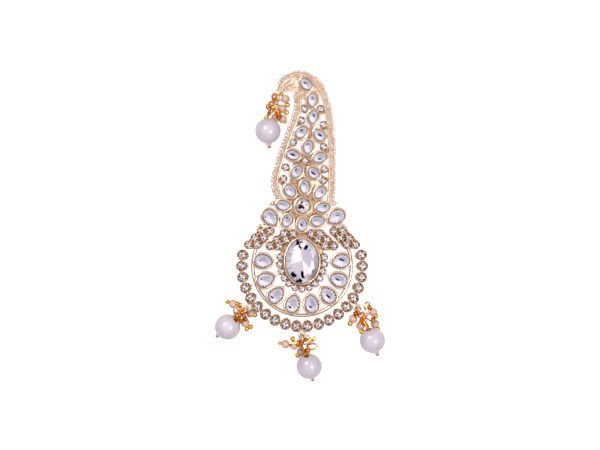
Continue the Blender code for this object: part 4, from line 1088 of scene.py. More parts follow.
@dataclass
class Chaton:
    """A small round stone in its cup with little claws; its middle is the origin."""

    stone: float
    wall: float
    height: float
    crown: float = 0.55 * MM
    claw: float = 0.55 * MM
    first_claw: float = 45.0
    claws: int = 4
    sides: int = 24
    hollow_sides: int = 20
    claw_sides: int = 8
    claw_out: float = 0.12 * MM
    claw_level: float = 0.97
    girdle: float = 0.8
    seat: float = 0.96
    # A painted dark reflection on the stone: place, length and width as shares of the stone, then its turn
    # and tone.
    dark_reflection: tuple[float, float, float, float] = (-0.12, 0.06, 0.2, 0.14)
    reflection_turn: float = 0.6
    reflection_tone: float = 0.02
    stone_base: float = 0.3 * MM

    def rim(self) -> Pile:
        """The cup."""
        pile = Pile()
        outline = round_stone(self.stone)
        pile.loft([outline.loop(self.sides, level * self.height, grow * self.wall)
                   for grow, level in CHATON_RIM], high_cap=False)
        return pile

    def prongs(self) -> Pile:
        """The claws that hold the stone."""
        pile = Pile()
        for index in range(self.claws):
            place = polar(self.stone / 2 + self.claw_out, self.first_claw + 360.0 * index / self.claws)
            spot = Matrix.Translation((*place, self.claw_level * self.height))
            pile.ball(spot, self.claw, self.claw_sides, tall=0.8)
        return pile

    def hollow_shade(self) -> Pile:
        """The inside of the cup, painted dark as shade."""
        pile = Pile()
        outline = round_stone(self.stone)
        loops = [outline.loop(self.hollow_sides, level * self.height, grow * self.wall)
                 for grow, level in CHATON_HOLLOW]
        pile.loft([*loops, outline.loop(self.hollow_sides, 0.7 * self.height, -0.1 * self.stone)])
        return pile

    def cut(self) -> Pile:
        """The stone with its painted dark reflection."""
        pile = Pile()
        level = self.girdle * self.height
        cutting = Cut(8, 0.78, 0.5, self.crown, (0.15, -0.1), (0.45, 1.0), CHATON_TONES, CHATON_DARK_EDGES)
        cutting.add(pile, round_stone(self.seat * self.stone), Matrix.Translation((0.0, 0.0, level)),
                    self.stone_base, 21)
        across, up, length, width = (share * self.stone for share in self.dark_reflection)
        place = Matrix.Translation((across, up, level + self.crown))
        painted_dark_reflection(pile, place @ Matrix.Rotation(self.reflection_turn, 4, "Z"), length, width, self.reflection_tone)
        return pile

    def build(self, name: str, places: Sequence[tuple[Vector, float]], level: float, finishes: Finishes,
              metal: Material, stone: Material, nodes: Sequence[str], seed: int) -> None:
        """Build a row of chatons.

        Args:
            name: how its pieces' names start.
            places: where each stands, and how far it is turned in degrees.
            level: the height that they stand on.
            finishes: all materials.
            metal: the material of the cups.
            stone: the material of the stones.
            nodes: the solids that they stand for.
            seed: the seed of how the stones are turned.
        """
        chance = random.Random(seed)
        turned = [(place, chance.uniform(0.0, 360.0)) for place, _ in places]
        # The hollows wear painted shade.
        for part, pattern, spots, finish, slot in (
                ("cups", self.rim(), places, metal, Slot.PALE_GOLD),
                ("hollows", self.hollow_shade(), places, finishes.hollow_shade, Slot.PALE_GOLD),
                ("claws", self.prongs(), places, finishes.claw, Slot.PALE_GOLD),
                ("stones", self.cut(), turned, stone, Slot.CLEAR_CRYSTAL)):
            mesh = row_of(f"{name}_{part}", pattern, spots, level, finishes.settings, finish, seed)
            show(f"{name}_{part}", mesh, (), nodes)


RIM_CHATON = Chaton(3.2 * MM, 0.62 * MM, 2.2 * MM, 0.6 * MM, 0.5 * MM)
HALO_CHATON = Chaton(2.45 * MM, 0.22 * MM, 1.5 * MM, 0.5 * MM, 0.5 * MM)
WING_CHATON = Chaton(2.8 * MM, 0.36 * MM, 1.5 * MM, 0.55 * MM, 0.6 * MM, 0.0)
NECK_CHATON = Chaton(2.6 * MM, 0.3 * MM, 2.4 * MM, 0.5 * MM, 0.55 * MM)
RING_PROFILE = ((-1.0, 0.1), (1.0, 0.1), (1.0, 1.3), (0.78, 1.75), (0.3, 1.95), (-0.3, 1.95),
                (-0.78, 1.75), (-1.0, 1.3))
STRIP_PROFILE = ((-0.6, 0.1), (0.6, 0.1), (0.6, 0.7), (0.4, 0.85), (-0.4, 0.85), (-0.6, 0.7))
BAR_BACK = ((-1.0, 0.25), (1.0, 0.25))
BAR_FRONT = ((1.0, 0.6), (0.8, 0.7), (-0.8, 0.7), (-1.0, 0.6))
SPIKES = ((-3.2, 0.6), (0.0, 1.4), (3.2, 0.6))
HALO_MM = ((-8.71, 3.57), (-8.74, 0.71), (-8.17, -2.06), (-6.98, -4.67), (-5.17, -6.86), (-2.79, -8.38),
           (0.0, -8.95), (2.79, -8.38), (5.17, -6.86), (6.98, -4.67), (8.17, -2.06), (8.74, 0.71),
           (8.71, 3.57))


def section_of(profile: Sequence[tuple[float, float]], half: float,
               lift: float = 0.0) -> list[tuple[float, float]]:
    """A strip's section from shares of its half width and levels in mm above the back."""
    return [(across * half, BACK + level * MM + lift) for across, level in profile]


def bar(pile: Pile, start: Vector, end: Vector, width: float, lift: float = 0.0) -> None:
    """Add a flat bar behind the settings."""
    section = section_of(BAR_BACK, width / 2) + section_of(BAR_FRONT, width / 2, lift)
    pile.sweep([start, (start + end) / 2, end], section)


@dataclass
class Disc:
    """Ring band, the flange behind the halo, the spine, and the rows of chatons on them."""

    finishes: Finishes
    ring_radius: float = 19.35 * MM
    ring_width: float = 1.3 * MM
    ring_start: float = 155.0
    ring_sweep: float = 230.0
    ring_steps: int = 120
    stem_reach: float = 5.4 * MM
    stem_width: float = 0.5 * MM
    flange_half: tuple[float, float] = (9.0 * MM, 11.2 * MM)
    flange_levels: tuple[float, float] = (BACK + 0.15 * MM, BACK + 0.75 * MM)
    flange_steps: int = 96
    spine_width: float = 3.2 * MM
    rim_radius: float = 23.8 * MM
    rim_pitch: float = 10.593
    rim_count: int = 20
    halo_level: float = BACK + 1.1 * MM
    crescent: float = 1.72 * MM
    crescent_inset: float = 0.75 * MM
    crescent_levels: tuple[float, float] = (BACK + 1.3 * MM, BACK + 1.72 * MM)
    crescent_sides: int = 24
    disc_drops: int = 8
    spine: tuple[Vector, Vector] = (mm(0.0, 8.0), mm(0.45, 21.0))
    spike_root: float = 1.45 * MM
    spike_tip: float = 1.9 * MM
    spike_reach: float = 0.8 * MM
    spike_turns: tuple[float, float] = (0.75, 0.8)
    spike_levels: tuple[float, float] = (BACK + 1.95 * MM, BACK + 1.0 * MM)
    eyes: tuple[float, ...] = (4.5, 9.5, 14.5)
    eye_out: float = 2.9 * MM

    def rim_angle(self, index: float) -> float:
        """Where a chaton of the rim stands."""
        return 270.0 + (index - (self.rim_count - 1) / 2) * self.rim_pitch

    def metal(self) -> None:
        """The ring band, the flange, the spine and the stems behind."""
        pile = Pile()
        line = [polar(self.ring_radius, self.ring_start + self.ring_sweep * step / self.ring_steps)
                for step in range(self.ring_steps + 1)]
        pile.sweep(line, section_of(RING_PROFILE, self.ring_width / 2))
        for drop in LARGE_DROPS[:self.disc_drops]:
            bar(pile, drop.place, drop.place + polar(1.0, drop.tip) * self.stem_reach, self.stem_width)
        show("disc_ring", pile.mesh("disc_ring"), (self.finishes.pale,), FRAME)
        # The flange and the spine lie behind the halo and wear painted shade.
        pile = Pile()
        turns = [math.tau * step / self.flange_steps for step in range(self.flange_steps)]
        wide, tall = self.flange_half
        pile.plate([Vector((wide * math.cos(turn), OVAL_UP + tall * math.sin(turn))) for turn in turns],
                   *self.flange_levels)
        bar(pile, *self.spine, self.spine_width)
        show("halo_flange", pile.mesh("halo_flange"), (self.finishes.plate,), FRAME)

    def rows(self) -> None:
        """The chatons of the rim and of the halo."""
        angles = [self.rim_angle(index) for index in range(self.rim_count)]
        rim = [(polar(self.rim_radius, angle), angle) for angle in angles]
        RIM_CHATON.build("rim", rim, BACK, self.finishes, self.finishes.rope, self.finishes.clear,
                         ["rim_chatons"], 4)
        halo = [(mm(*place), 30.0 * index) for index, place in enumerate(HALO_MM)]
        HALO_CHATON.build("halo", halo, self.halo_level, self.finishes, self.finishes.rope,
                          self.finishes.bright, ["halo_chatons"], 9)

    def strip(self) -> None:
        """The strip under the rim with the dark crescents of painted shade and the spikes of its cups, and
        its eyes.
        """
        pile = Pile()
        line = [polar(self.rim_radius, self.rim_angle(-0.2 + step / 4))
                for step in range(4 * self.rim_count - 2)]
        pile.sweep(line, section_of(STRIP_PROFILE, MM))
        for index in range(self.rim_count):
            angle = self.rim_angle(index)
            # A dark plate under each cup, whose edge shows as a crescent of painted shade.
            shade = polar(self.rim_radius - self.crescent_inset, angle)
            pile.plate([polar(self.crescent, 360.0 * step / self.crescent_sides, shade)
                        for step in range(self.crescent_sides)], *self.crescent_levels, finish=2)
            for side, reach in SPIKES:
                self.spike(pile, angle, side, reach)
        for index in self.eyes:
            self.eye(pile, self.rim_angle(index))
        show("rim_strip", pile.mesh("rim_strip"),
             (self.finishes.pale, self.finishes.claw, self.finishes.hollow_shade),
             ["rim_chatons"])

    def spike(self, pile: Pile, angle: float, side: float, reach: float) -> None:
        """A spike that runs from a cup of the rim down towards the disc."""
        near, far = self.spike_turns
        root = polar(self.rim_radius - self.spike_root, angle + side * near).to_3d()
        tip = polar(self.rim_radius - self.spike_tip - self.spike_reach * reach, angle + side * far).to_3d()
        root.z, tip.z = self.spike_levels
        long = (tip - root).length
        profile = [(0.0, 0.0), (0.3 * MM, 0.05 * MM), (0.42 * MM, 0.3 * long), (0.3 * MM, 0.65 * long),
                   (0.0, long)]
        pile.lathe(profile, 8, along(root, tip - root), 1)

    def eye(self, pile: Pile, angle: float) -> None:
        """An eye that a drop hangs from, on its short stem."""
        reach = self.rim_radius + self.eye_out
        pile.ring(at(polar(reach, angle), EYE_LEVEL), EYE_RADIUS, EYE_WIRE)
        start, end = polar(self.rim_radius, angle).to_3d(), polar(reach - 1.1 * MM, angle).to_3d()
        start.z = end.z = EYE_LEVEL
        pile.tube([MIDDLE + start, MIDDLE + end], EYE_WIRE)


WINGS_MM = (
    ("pave_left_inner", ((-3.47, 12.74), (-6.2, 10.32), (-8.93, 7.9), (-7.12, 12.74), (-9.85, 10.32),
                         (-12.58, 7.9))),
    ("pave_left_outer", ((-12.41, 13.72), (-14.92, 11.07), (-17.43, 8.43), (-16.06, 13.72),
                         (-18.57, 11.07), (-21.08, 8.43))))
# Two plates under each wing's stones: a wide low one and a smaller, darker one above it, both painted shade
# between the cups.
LEDGE_LAYERS = ((1.72 * MM, 0.15 * MM, 1.1 * MM), (1.2 * MM, 1.0 * MM, 1.6 * MM))


@dataclass
class Wings:
    """The four fields of small stones above the disc."""

    finishes: Finishes
    stone_level: float = BACK + 1.1 * MM

    def build(self) -> None:
        """Ledges of painted shade, cups and stones of all four."""
        ledges = Pile()
        places: list[tuple[Vector, float]] = []
        nodes = []
        for name, spots in WINGS_MM:
            for side in (1, -1):
                points = [mm(side * x, y) for x, y in spots]
                for finish, (radius, low, high) in enumerate(LEDGE_LAYERS):
                    ledges.plate(hull([(point, radius) for point in points]), BACK + low, BACK + high,
                                 finish=finish)
                places += [(point, 45.0) for point in points]
                nodes.append(name if side == 1 else name.replace("left", "right"))
        show("wing_ledges", ledges.mesh("wing_ledges"), (self.finishes.shade, self.finishes.hollow_shade),
             [*FRAME, *nodes])
        WING_CHATON.build("wing", places, self.stone_level, self.finishes, self.finishes.pale,
                          self.finishes.clear, nodes, 15)


RIGHT_MM = ((11.3, 24.87), (11.71, 31.7), (11.91, 41.02), (11.64, 49.59), (10.83, 57.57), (9.36, 65.47),
            (5.81, 72.37), (-0.49, 75.45), (-7.05, 73.31), (-8.73, 68.96))
LEFT_MM = ((-1.83, 67.88), (-1.63, 64.07), (-2.16, 59.51), (-6.05, 49.19), (-9.4, 39.41),
           (-10.74, 33.25), (-10.0, 28.96), (-8.8, 26.01))
ROUNDS_MM = ((1.25, 41.29), (0.92, 61.59), (7.35, 61.72), (-0.22, 57.16), (8.42, 55.49), (-3.5, 48.52),
             (8.49, 46.78), (-6.38, 38.81), (8.76, 38.0), (-7.26, 34.25), (8.29, 33.51))
PLATES_MM = (
    ((2.26, 44.64, 1.34), (-2.1, 42.96, 1.01), (5.41, 41.96, 1.01), (-3.77, 31.57, 1.34),
     (2.93, 31.57, 2.35)),
    ((-7.32, 70.1, 1.61), (-5.78, 72.24, 1.61), (-2.43, 70.77, 2.01), (-0.42, 73.11, 2.01)),
    ((-1.56, 68.76, 1.34), (-0.76, 72.77, 2.01), (3.93, 72.1, 2.01), (4.94, 68.42, 2.01),
     (1.25, 66.41, 1.21)),
    ((0.45, 23.55, 7.35),))
# The plates in the tip wear the lighter painted shade.
TIP_PLATES = (1, 2)
BARS_MM = ((-0.22, 52.47, 6.81, 51.27), (2.26, 46.65, 4.34, 58.37), (4.34, 58.37, 4.07, 65.0),
           (4.07, 65.0, 1.59, 71.3))
BORDER_PROFILE = ((-1.0, 0.1), (0.62, 0.1), (0.62, 0.9), (0.4, 1.1), (-0.42, 1.1), (-0.46, 1.8),
                  (-0.56, 1.98), (-0.72, 2.05), (-0.88, 1.95), (-1.0, 1.7))
GROOVE_PROFILE = ((-0.44, 0.5), (0.5, 0.5), (0.5, 1.13), (-0.44, 1.13))
GRANULES_MM = (
    (-11.5, 24.5, 1.7, 0.9), (-12.7, 24.1, 1.1, 0.7), (-11.0, 25.6, 1.1, 0.8), (12.7, 24.5, 1.7, 0.9),
    (13.6, 24.9, 1.1, 0.7), (12.3, 25.7, 1.1, 0.8), (-16.3, 15.9, 1.3, 0.8), (-17.3, 15.3, 1.0, 0.7),
    (-15.0, 16.1, 1.0, 0.7), (16.3, 15.9, 1.3, 0.8), (17.4, 15.3, 1.0, 0.7), (15.0, 16.1, 1.0, 0.7),
    (-6.9, 69.6, 1.1, 0.9), (-5.5, 70.2, 1.1, 0.9), (-4.5, 71.6, 1.2, 0.9), (-6.3, 71.0, 1.0, 0.9),
    (-2.0, 70.6, 1.0, 0.9), (-0.8, 69.3, 1.0, 0.9), (-3.3, 70.2, 1.0, 0.9), (-1.2, 67.6, 0.9, 0.9),
    (4.6, 70.3, 0.9, 0.9), (5.6, 68.6, 0.9, 0.9), (6.4, 66.9, 0.9, 0.9), (-0.5, 66.0, 0.9, 0.9))
FLOWER_GRANULES = (
    (8.0, 5.3), (68.0, 4.9), (113.0, 5.0), (158.0, 5.2), (203.0, 5.3), (248.0, 5.4), (292.0, 5.2),
    (330.0, 5.0), (22.0, 7.6), (67.0, 7.4), (200.0, 8.2))


@dataclass(frozen=True)
class BeadLine:
    """A row of beads in a border; its place across is a share of the border's half width."""

    name: str
    across: float
    diameter: float
    pitch: float
    level: float
    stretch: float


OUTER_BEADS = BeadLine("border_beads", 0.7, 1.36 * MM, 1.42 * MM, BACK + 1.35 * MM, 1.0)
INNER_ROPE = BeadLine("border_rope", -0.08, 0.8 * MM, 0.8 * MM, BACK + 1.4 * MM, 0.9)


@dataclass
class Neck:
    """Borders, round stones, plates and granules of the neck."""

    finishes: Finishes
    width: float = 2.9 * MM
    steps: int = 14
    bar_width: float = 1.5 * MM
    granule_sides: int = 14
    flower_granule: float = 1.15 * MM
    scroll_wire: float = 0.6 * MM
    scroll_steps: int = 42
    scroll_place: Vector = mm(-2.6, 71.8)
    scroll_radius: float = 1.9 * MM
    scroll_shrink: float = 0.012 * MM
    scroll_start: float = 40.0
    scroll_turn: float = 7.0
    scroll_level: float = BACK + 1.1 * MM
    tip_eye: Vector = mm(-9.2, 67.88)
    plate_levels: tuple[float, float] = (BACK + 0.2 * MM, BACK + 0.7 * MM)
    plate_sides: int = 40
    plate_lift: float = 0.04 * MM
    bar_lift: float = 0.05 * MM
    shoulder_ends: tuple[Vector, Vector] = (mm(-12.41, 13.72), mm(12.41, 13.72))

    def borders(self) -> None:
        """Both beaded borders: a base with a rail, the outer beads and the rope in the channel."""
        base = Pile()
        half = self.width / 2
        lines = {}
        for side, spots in (("right", RIGHT_MM), ("left", LEFT_MM)):
            lines[side] = smooth_line([mm(*spot) for spot in spots], self.steps)
            base.sweep(lines[side], section_of(BORDER_PROFILE, half))
            # The channel of the border wears painted shade.
            base.sweep(lines[side], section_of(GROOVE_PROFILE, half), 1)
        show("border_base", base.mesh("border_base"), (self.finishes.rope, self.finishes.shade),
             FRAME)
        # The outer beads wear the near-white gold of painted highlights.
        for row, finish in ((OUTER_BEADS, self.finishes.border), (INNER_ROPE, self.finishes.rope)):
            for side, line in lines.items():
                show(f"{row.name}_{side}", self.beads(line, row, finish), (), FRAME)

    def beads(self, line: Sequence[Vector], row: BeadLine, finish: Material) -> Mesh:
        """A row of beads that runs beside a line."""
        shifted = []
        for index, place in enumerate(line):
            way = (line[min(index + 1, len(line) - 1)] - line[max(index - 1, 0)]).normalized()
            shifted.append(place + Vector((way.y, -way.x)) * (row.across * self.width / 2))
        return grown(self.finishes.beads, curve_through(shifted, row.level),
                     {"Bead Diameter": row.diameter, "Pitch": row.pitch, "Stretch": row.stretch,
                      "Finish": finish}, row.name)

    def plates(self) -> None:
        """The plates and bars behind the settings, dark with painted shade."""
        pile = Pile()
        for index, circles in enumerate(PLATES_MM):
            outline = hull([(mm(x, y), radius * MM) for x, y, radius in circles], self.plate_sides)
            low, high = (level + self.plate_lift * index for level in self.plate_levels)
            pile.plate(outline, low, high, finish=int(index in TIP_PLATES))
        for index, (x, y, far_x, far_y) in enumerate(BARS_MM):
            bar(pile, mm(x, y), mm(far_x, far_y), self.bar_width, self.bar_lift * index)
        rails = [place for spots in (RIGHT_MM, LEFT_MM)
                 for place in smooth_line([mm(*spot) for spot in spots], 6)]
        drops = [drop.place for drop in SMALL_DROPS]
        for spot in ROUNDS_MM[1:]:
            bar(pile, self.nearest(rails, mm(*spot)), self.nearest(drops, mm(*spot)), self.bar_width)
        for shoulder, near in zip(LARGE_DROPS[-2:], self.shoulder_ends):
            for end in (self.nearest(drops, shoulder.place), near):
                bar(pile, shoulder.place, end, self.bar_width)
        show("back_plates", pile.mesh("back_plates"), (self.finishes.plate, self.finishes.shade),
             FRAME)

    @staticmethod
    def nearest(places: Sequence[Vector], place: Vector) -> Vector:
        """The one of some places that lies nearest to a place."""
        return min(places, key=lambda other: (other - place).length)

    def rounds(self) -> None:
        """The eleven small round stones in their cups."""
        places = [(mm(*spot), 20.0 * index) for index, spot in enumerate(ROUNDS_MM)]
        NECK_CHATON.build("neck", places, BACK, self.finishes, self.finishes.pale, self.finishes.bright,
                          FRAME, 7)

    def granules(self) -> None:
        """The granules and scrolls at the ends of the borders, at the wings and in the tip."""
        pile = Pile()
        for x, y, size, level in GRANULES_MM:
            pile.ball(at(mm(x, y), BACK + level * MM), size * MM, self.granule_sides)
        for angle, reach in FLOWER_GRANULES:
            place = polar(reach * MM, angle, FLOWER_MIDDLE)
            pile.ball(at(place, BACK + 1.2 * MM), self.flower_granule, self.granule_sides)
        pile.tube([MIDDLE + point for point in self.scroll()], self.scroll_wire)
        pile.ring(at(self.tip_eye, EYE_LEVEL), EYE_RADIUS, EYE_WIRE)
        show("granules", pile.mesh("granules"), (self.finishes.rope,), FRAME)

    def scroll(self) -> list[Vector]:
        """The line of the little scroll in the tip, which winds inwards."""
        line = []
        for step in range(self.scroll_steps):
            flat = polar(self.scroll_radius - self.scroll_shrink * step,
                         self.scroll_start + self.scroll_turn * step, self.scroll_place)
            line.append(Vector((*flat, self.scroll_level)))
        return line


@dataclass(frozen=True)
class SmallBead:
    """A small bead by a pearl: its middle and its ball end in mm; a shared one is there already."""

    across: float
    up: float
    level: float
    end_across: float
    end_up: float
    end_size: float = 1.7
    shared: bool = False


@dataclass(frozen=True)
class Coil:
    """Wire wrapped some turns: its middle in mm, its way in degrees, radius in mm and turns."""

    across: float
    up: float
    level: float
    way: float
    radius: float
    turns: int


@dataclass(frozen=True)
class WireLoop:
    """A loop of wire: its middle in mm, half sizes in mm, turn and tilt in degrees, and its sweep."""

    across: float
    up: float
    level: float
    long: float
    short: float
    turn: float
    tilt: float
    sweep: float = 330.0
    pale: bool = False


@dataclass(frozen=True)
class Hanger:
    """One hanging pearl: names, places in mm and the ways of its chain and pin, in degrees."""

    name: str
    eye: tuple[float, float]
    chain: float
    pearl: tuple[float, float]
    pin: float
    droop: float
    nub: float
    beads: tuple[SmallBead, ...]
    coils: tuple[Coil, ...]
    loops: tuple[WireLoop, ...]


HANGERS = (
    Hanger("left", (-21.31, -16.08), 217.0, (-29.24, -23.94), 221.6, 33.0, 1.9, (
        SmallBead(-27.2, -14.8, 5.27, -29.3, -14.0, 1.5), SmallBead(-20.31, -18.7, 2.6, -18.6, -19.3, 1.8),
        SmallBead(-22.3, -22.5, 2.99, -20.2, -24.0),
        SmallBead(-22.3, -22.5, 2.99, -21.7, -24.8, 1.6, True)), (
        Coil(-24.9, -15.2, 5.6, 160.0, 0.8, 4), Coil(-23.0, -18.3, 6.6, 30.0, 0.75, 4),
        Coil(-24.3, -21.5, 5.2, 225.0, 0.7, 3), Coil(-26.4, -20.2, 6.2, 100.0, 0.6, 3),
        Coil(-22.3, -20.6, 4.6, 300.0, 0.6, 3)), (
        WireLoop(-25.4, -19.8, 6.7, 1.35, 1.25, 20.0, 10.0, 350.0),
        WireLoop(-25.4, -19.7, 7.3, 0.95, 0.9, 80.0, 12.0),
        WireLoop(-25.6, -17.0, 5.9, 1.6, 1.2, 60.0, 30.0, 360.0, True),
        WireLoop(-23.4, -17.9, 6.2, 1.4, 0.7, 25.0, 20.0))),
    Hanger("bottom", (0.0, -26.7), 259.0, (2.84, -39.41), 284.0, 33.0, 1.9, (
        SmallBead(-6.6, -30.7, 4.93, -8.7, -30.3, 1.3), SmallBead(-3.1, -31.3, 3.74, -5.5, -31.0, 1.7),
        SmallBead(-0.35, -34.0, 2.2, -1.7, -35.3, 1.8),
        SmallBead(-3.1, -31.3, 3.74, -3.7, -28.6, 1.7, True)), (
        Coil(-0.6, -30.6, 6.2, 250.0, 0.75, 4), Coil(1.7, -34.0, 6.2, 320.0, 0.7, 4),
        Coil(1.2, -28.9, 5.6, 20.0, 0.6, 3), Coil(2.2, -32.6, 6.0, 300.0, 0.5, 3)), (
        WireLoop(3.9, -31.6, 6.2, 2.1, 1.15, 190.0, 15.0, 340.0),
        WireLoop(2.0, -29.6, 6.2, 2.1, 1.0, 200.0, 30.0, 330.0),
        WireLoop(4.0, -28.9, 6.6, 1.8, 0.55, 215.0, 25.0, 330.0),
        WireLoop(1.8, -28.2, 5.9, 1.6, 1.1, 340.0, 30.0, 360.0, True),
        WireLoop(2.4, -33.2, 6.8, 1.3, 0.6, 60.0, 30.0, 330.0))),
    Hanger("right", (21.31, -16.08), 301.0, (27.67, -29.21), 290.8, 26.0, 1.85, (
        SmallBead(28.02, -18.1, 5.1, 29.1, -19.7, 1.6), SmallBead(28.9, -22.85, 2.6, 30.0, -24.7, 1.4),
        SmallBead(20.1, -20.8, 4.76, 18.9, -22.6, 1.9), SmallBead(23.0, -23.6, 3.6, 23.5, -25.8, 1.9)), (
        Coil(21.2, -18.9, 5.8, 290.0, 0.75, 4), Coil(28.0, -20.8, 5.4, 250.0, 0.65, 3),
        Coil(26.5, -16.2, 6.0, 320.0, 0.6, 3), Coil(23.3, -21.7, 5.8, 250.0, 0.7, 4),
        Coil(25.3, -23.2, 6.0, 300.0, 0.45, 4)), (
        WireLoop(25.5, -15.5, 6.2, 1.5, 1.05, 70.0, 25.0), WireLoop(24.0, -20.3, 6.3, 1.2, 0.7, 30.0, 20.0),
        WireLoop(25.6, -18.1, 5.9, 1.5, 0.7, 80.0, 30.0, 360.0, True),
        WireLoop(22.6, -16.9, 6.4, 1.2, 0.6, 300.0, 20.0, 360.0, True),
        WireLoop(24.8, -21.5, 6.5, 1.2, 0.6, 45.0, 40.0, 300.0))),
    Hanger("top", (-9.2, 67.88), 247.5, (-13.42, 53.21), 274.5, 5.0, 1.4, (
        SmallBead(-6.5, 65.6, 5.1, -5.7, 63.3, 1.65), SmallBead(-7.8, 61.9, 4.42, -6.1, 60.4, 1.8),
        SmallBead(-7.6, 57.9, 4.25, -6.6, 56.7, 1.2), SmallBead(-10.4, 58.6, 3.0, -10.0, 57.2, 0.9),
        SmallBead(-6.5, 65.6, 5.1, -8.0, 67.6, 1.6, True)), (
        Coil(-12.9, 60.0, 5.6, 270.0, 0.55, 3), Coil(-9.4, 59.9, 6.2, 280.0, 0.8, 4),
        Coil(-9.0, 58.4, 6.0, 230.0, 0.55, 3)), (
        WireLoop(-12.0, 63.4, 6.9, 1.25, 1.15, 30.0, 12.0, 350.0),
        WireLoop(-12.2, 61.6, 6.4, 1.3, 1.0, 110.0, 15.0, 340.0),
        WireLoop(-12.9, 62.5, 5.9, 1.0, 1.3, 20.0, 25.0, 300.0),
        WireLoop(-9.7, 60.4, 6.6, 1.0, 0.9, 60.0, 20.0, 320.0),
        WireLoop(-11.8, 63.2, 6.8, 1.4, 1.2, 30.0, 15.0), WireLoop(-11.4, 62.2, 7.0, 1.1, 0.8, 110.0, 20.0),
        WireLoop(-10.4, 66.5, 6.3, 1.6, 1.5, 0.0, 15.0, 360.0, True),
        WireLoop(-10.5, 66.3, 6.9, 1.15, 1.0, 50.0, 20.0),
        WireLoop(-13.9, 58.1, 5.6, 0.9, 0.4, 330.0, 30.0, 250.0))),
)
NUB_PROFILE = ((0.0, 0.0), (1.55, 0.0), (1.3, 0.2), (1.1, 0.5), (0.95, 0.8), (0.75, 0.95), (0.0, 1.0))


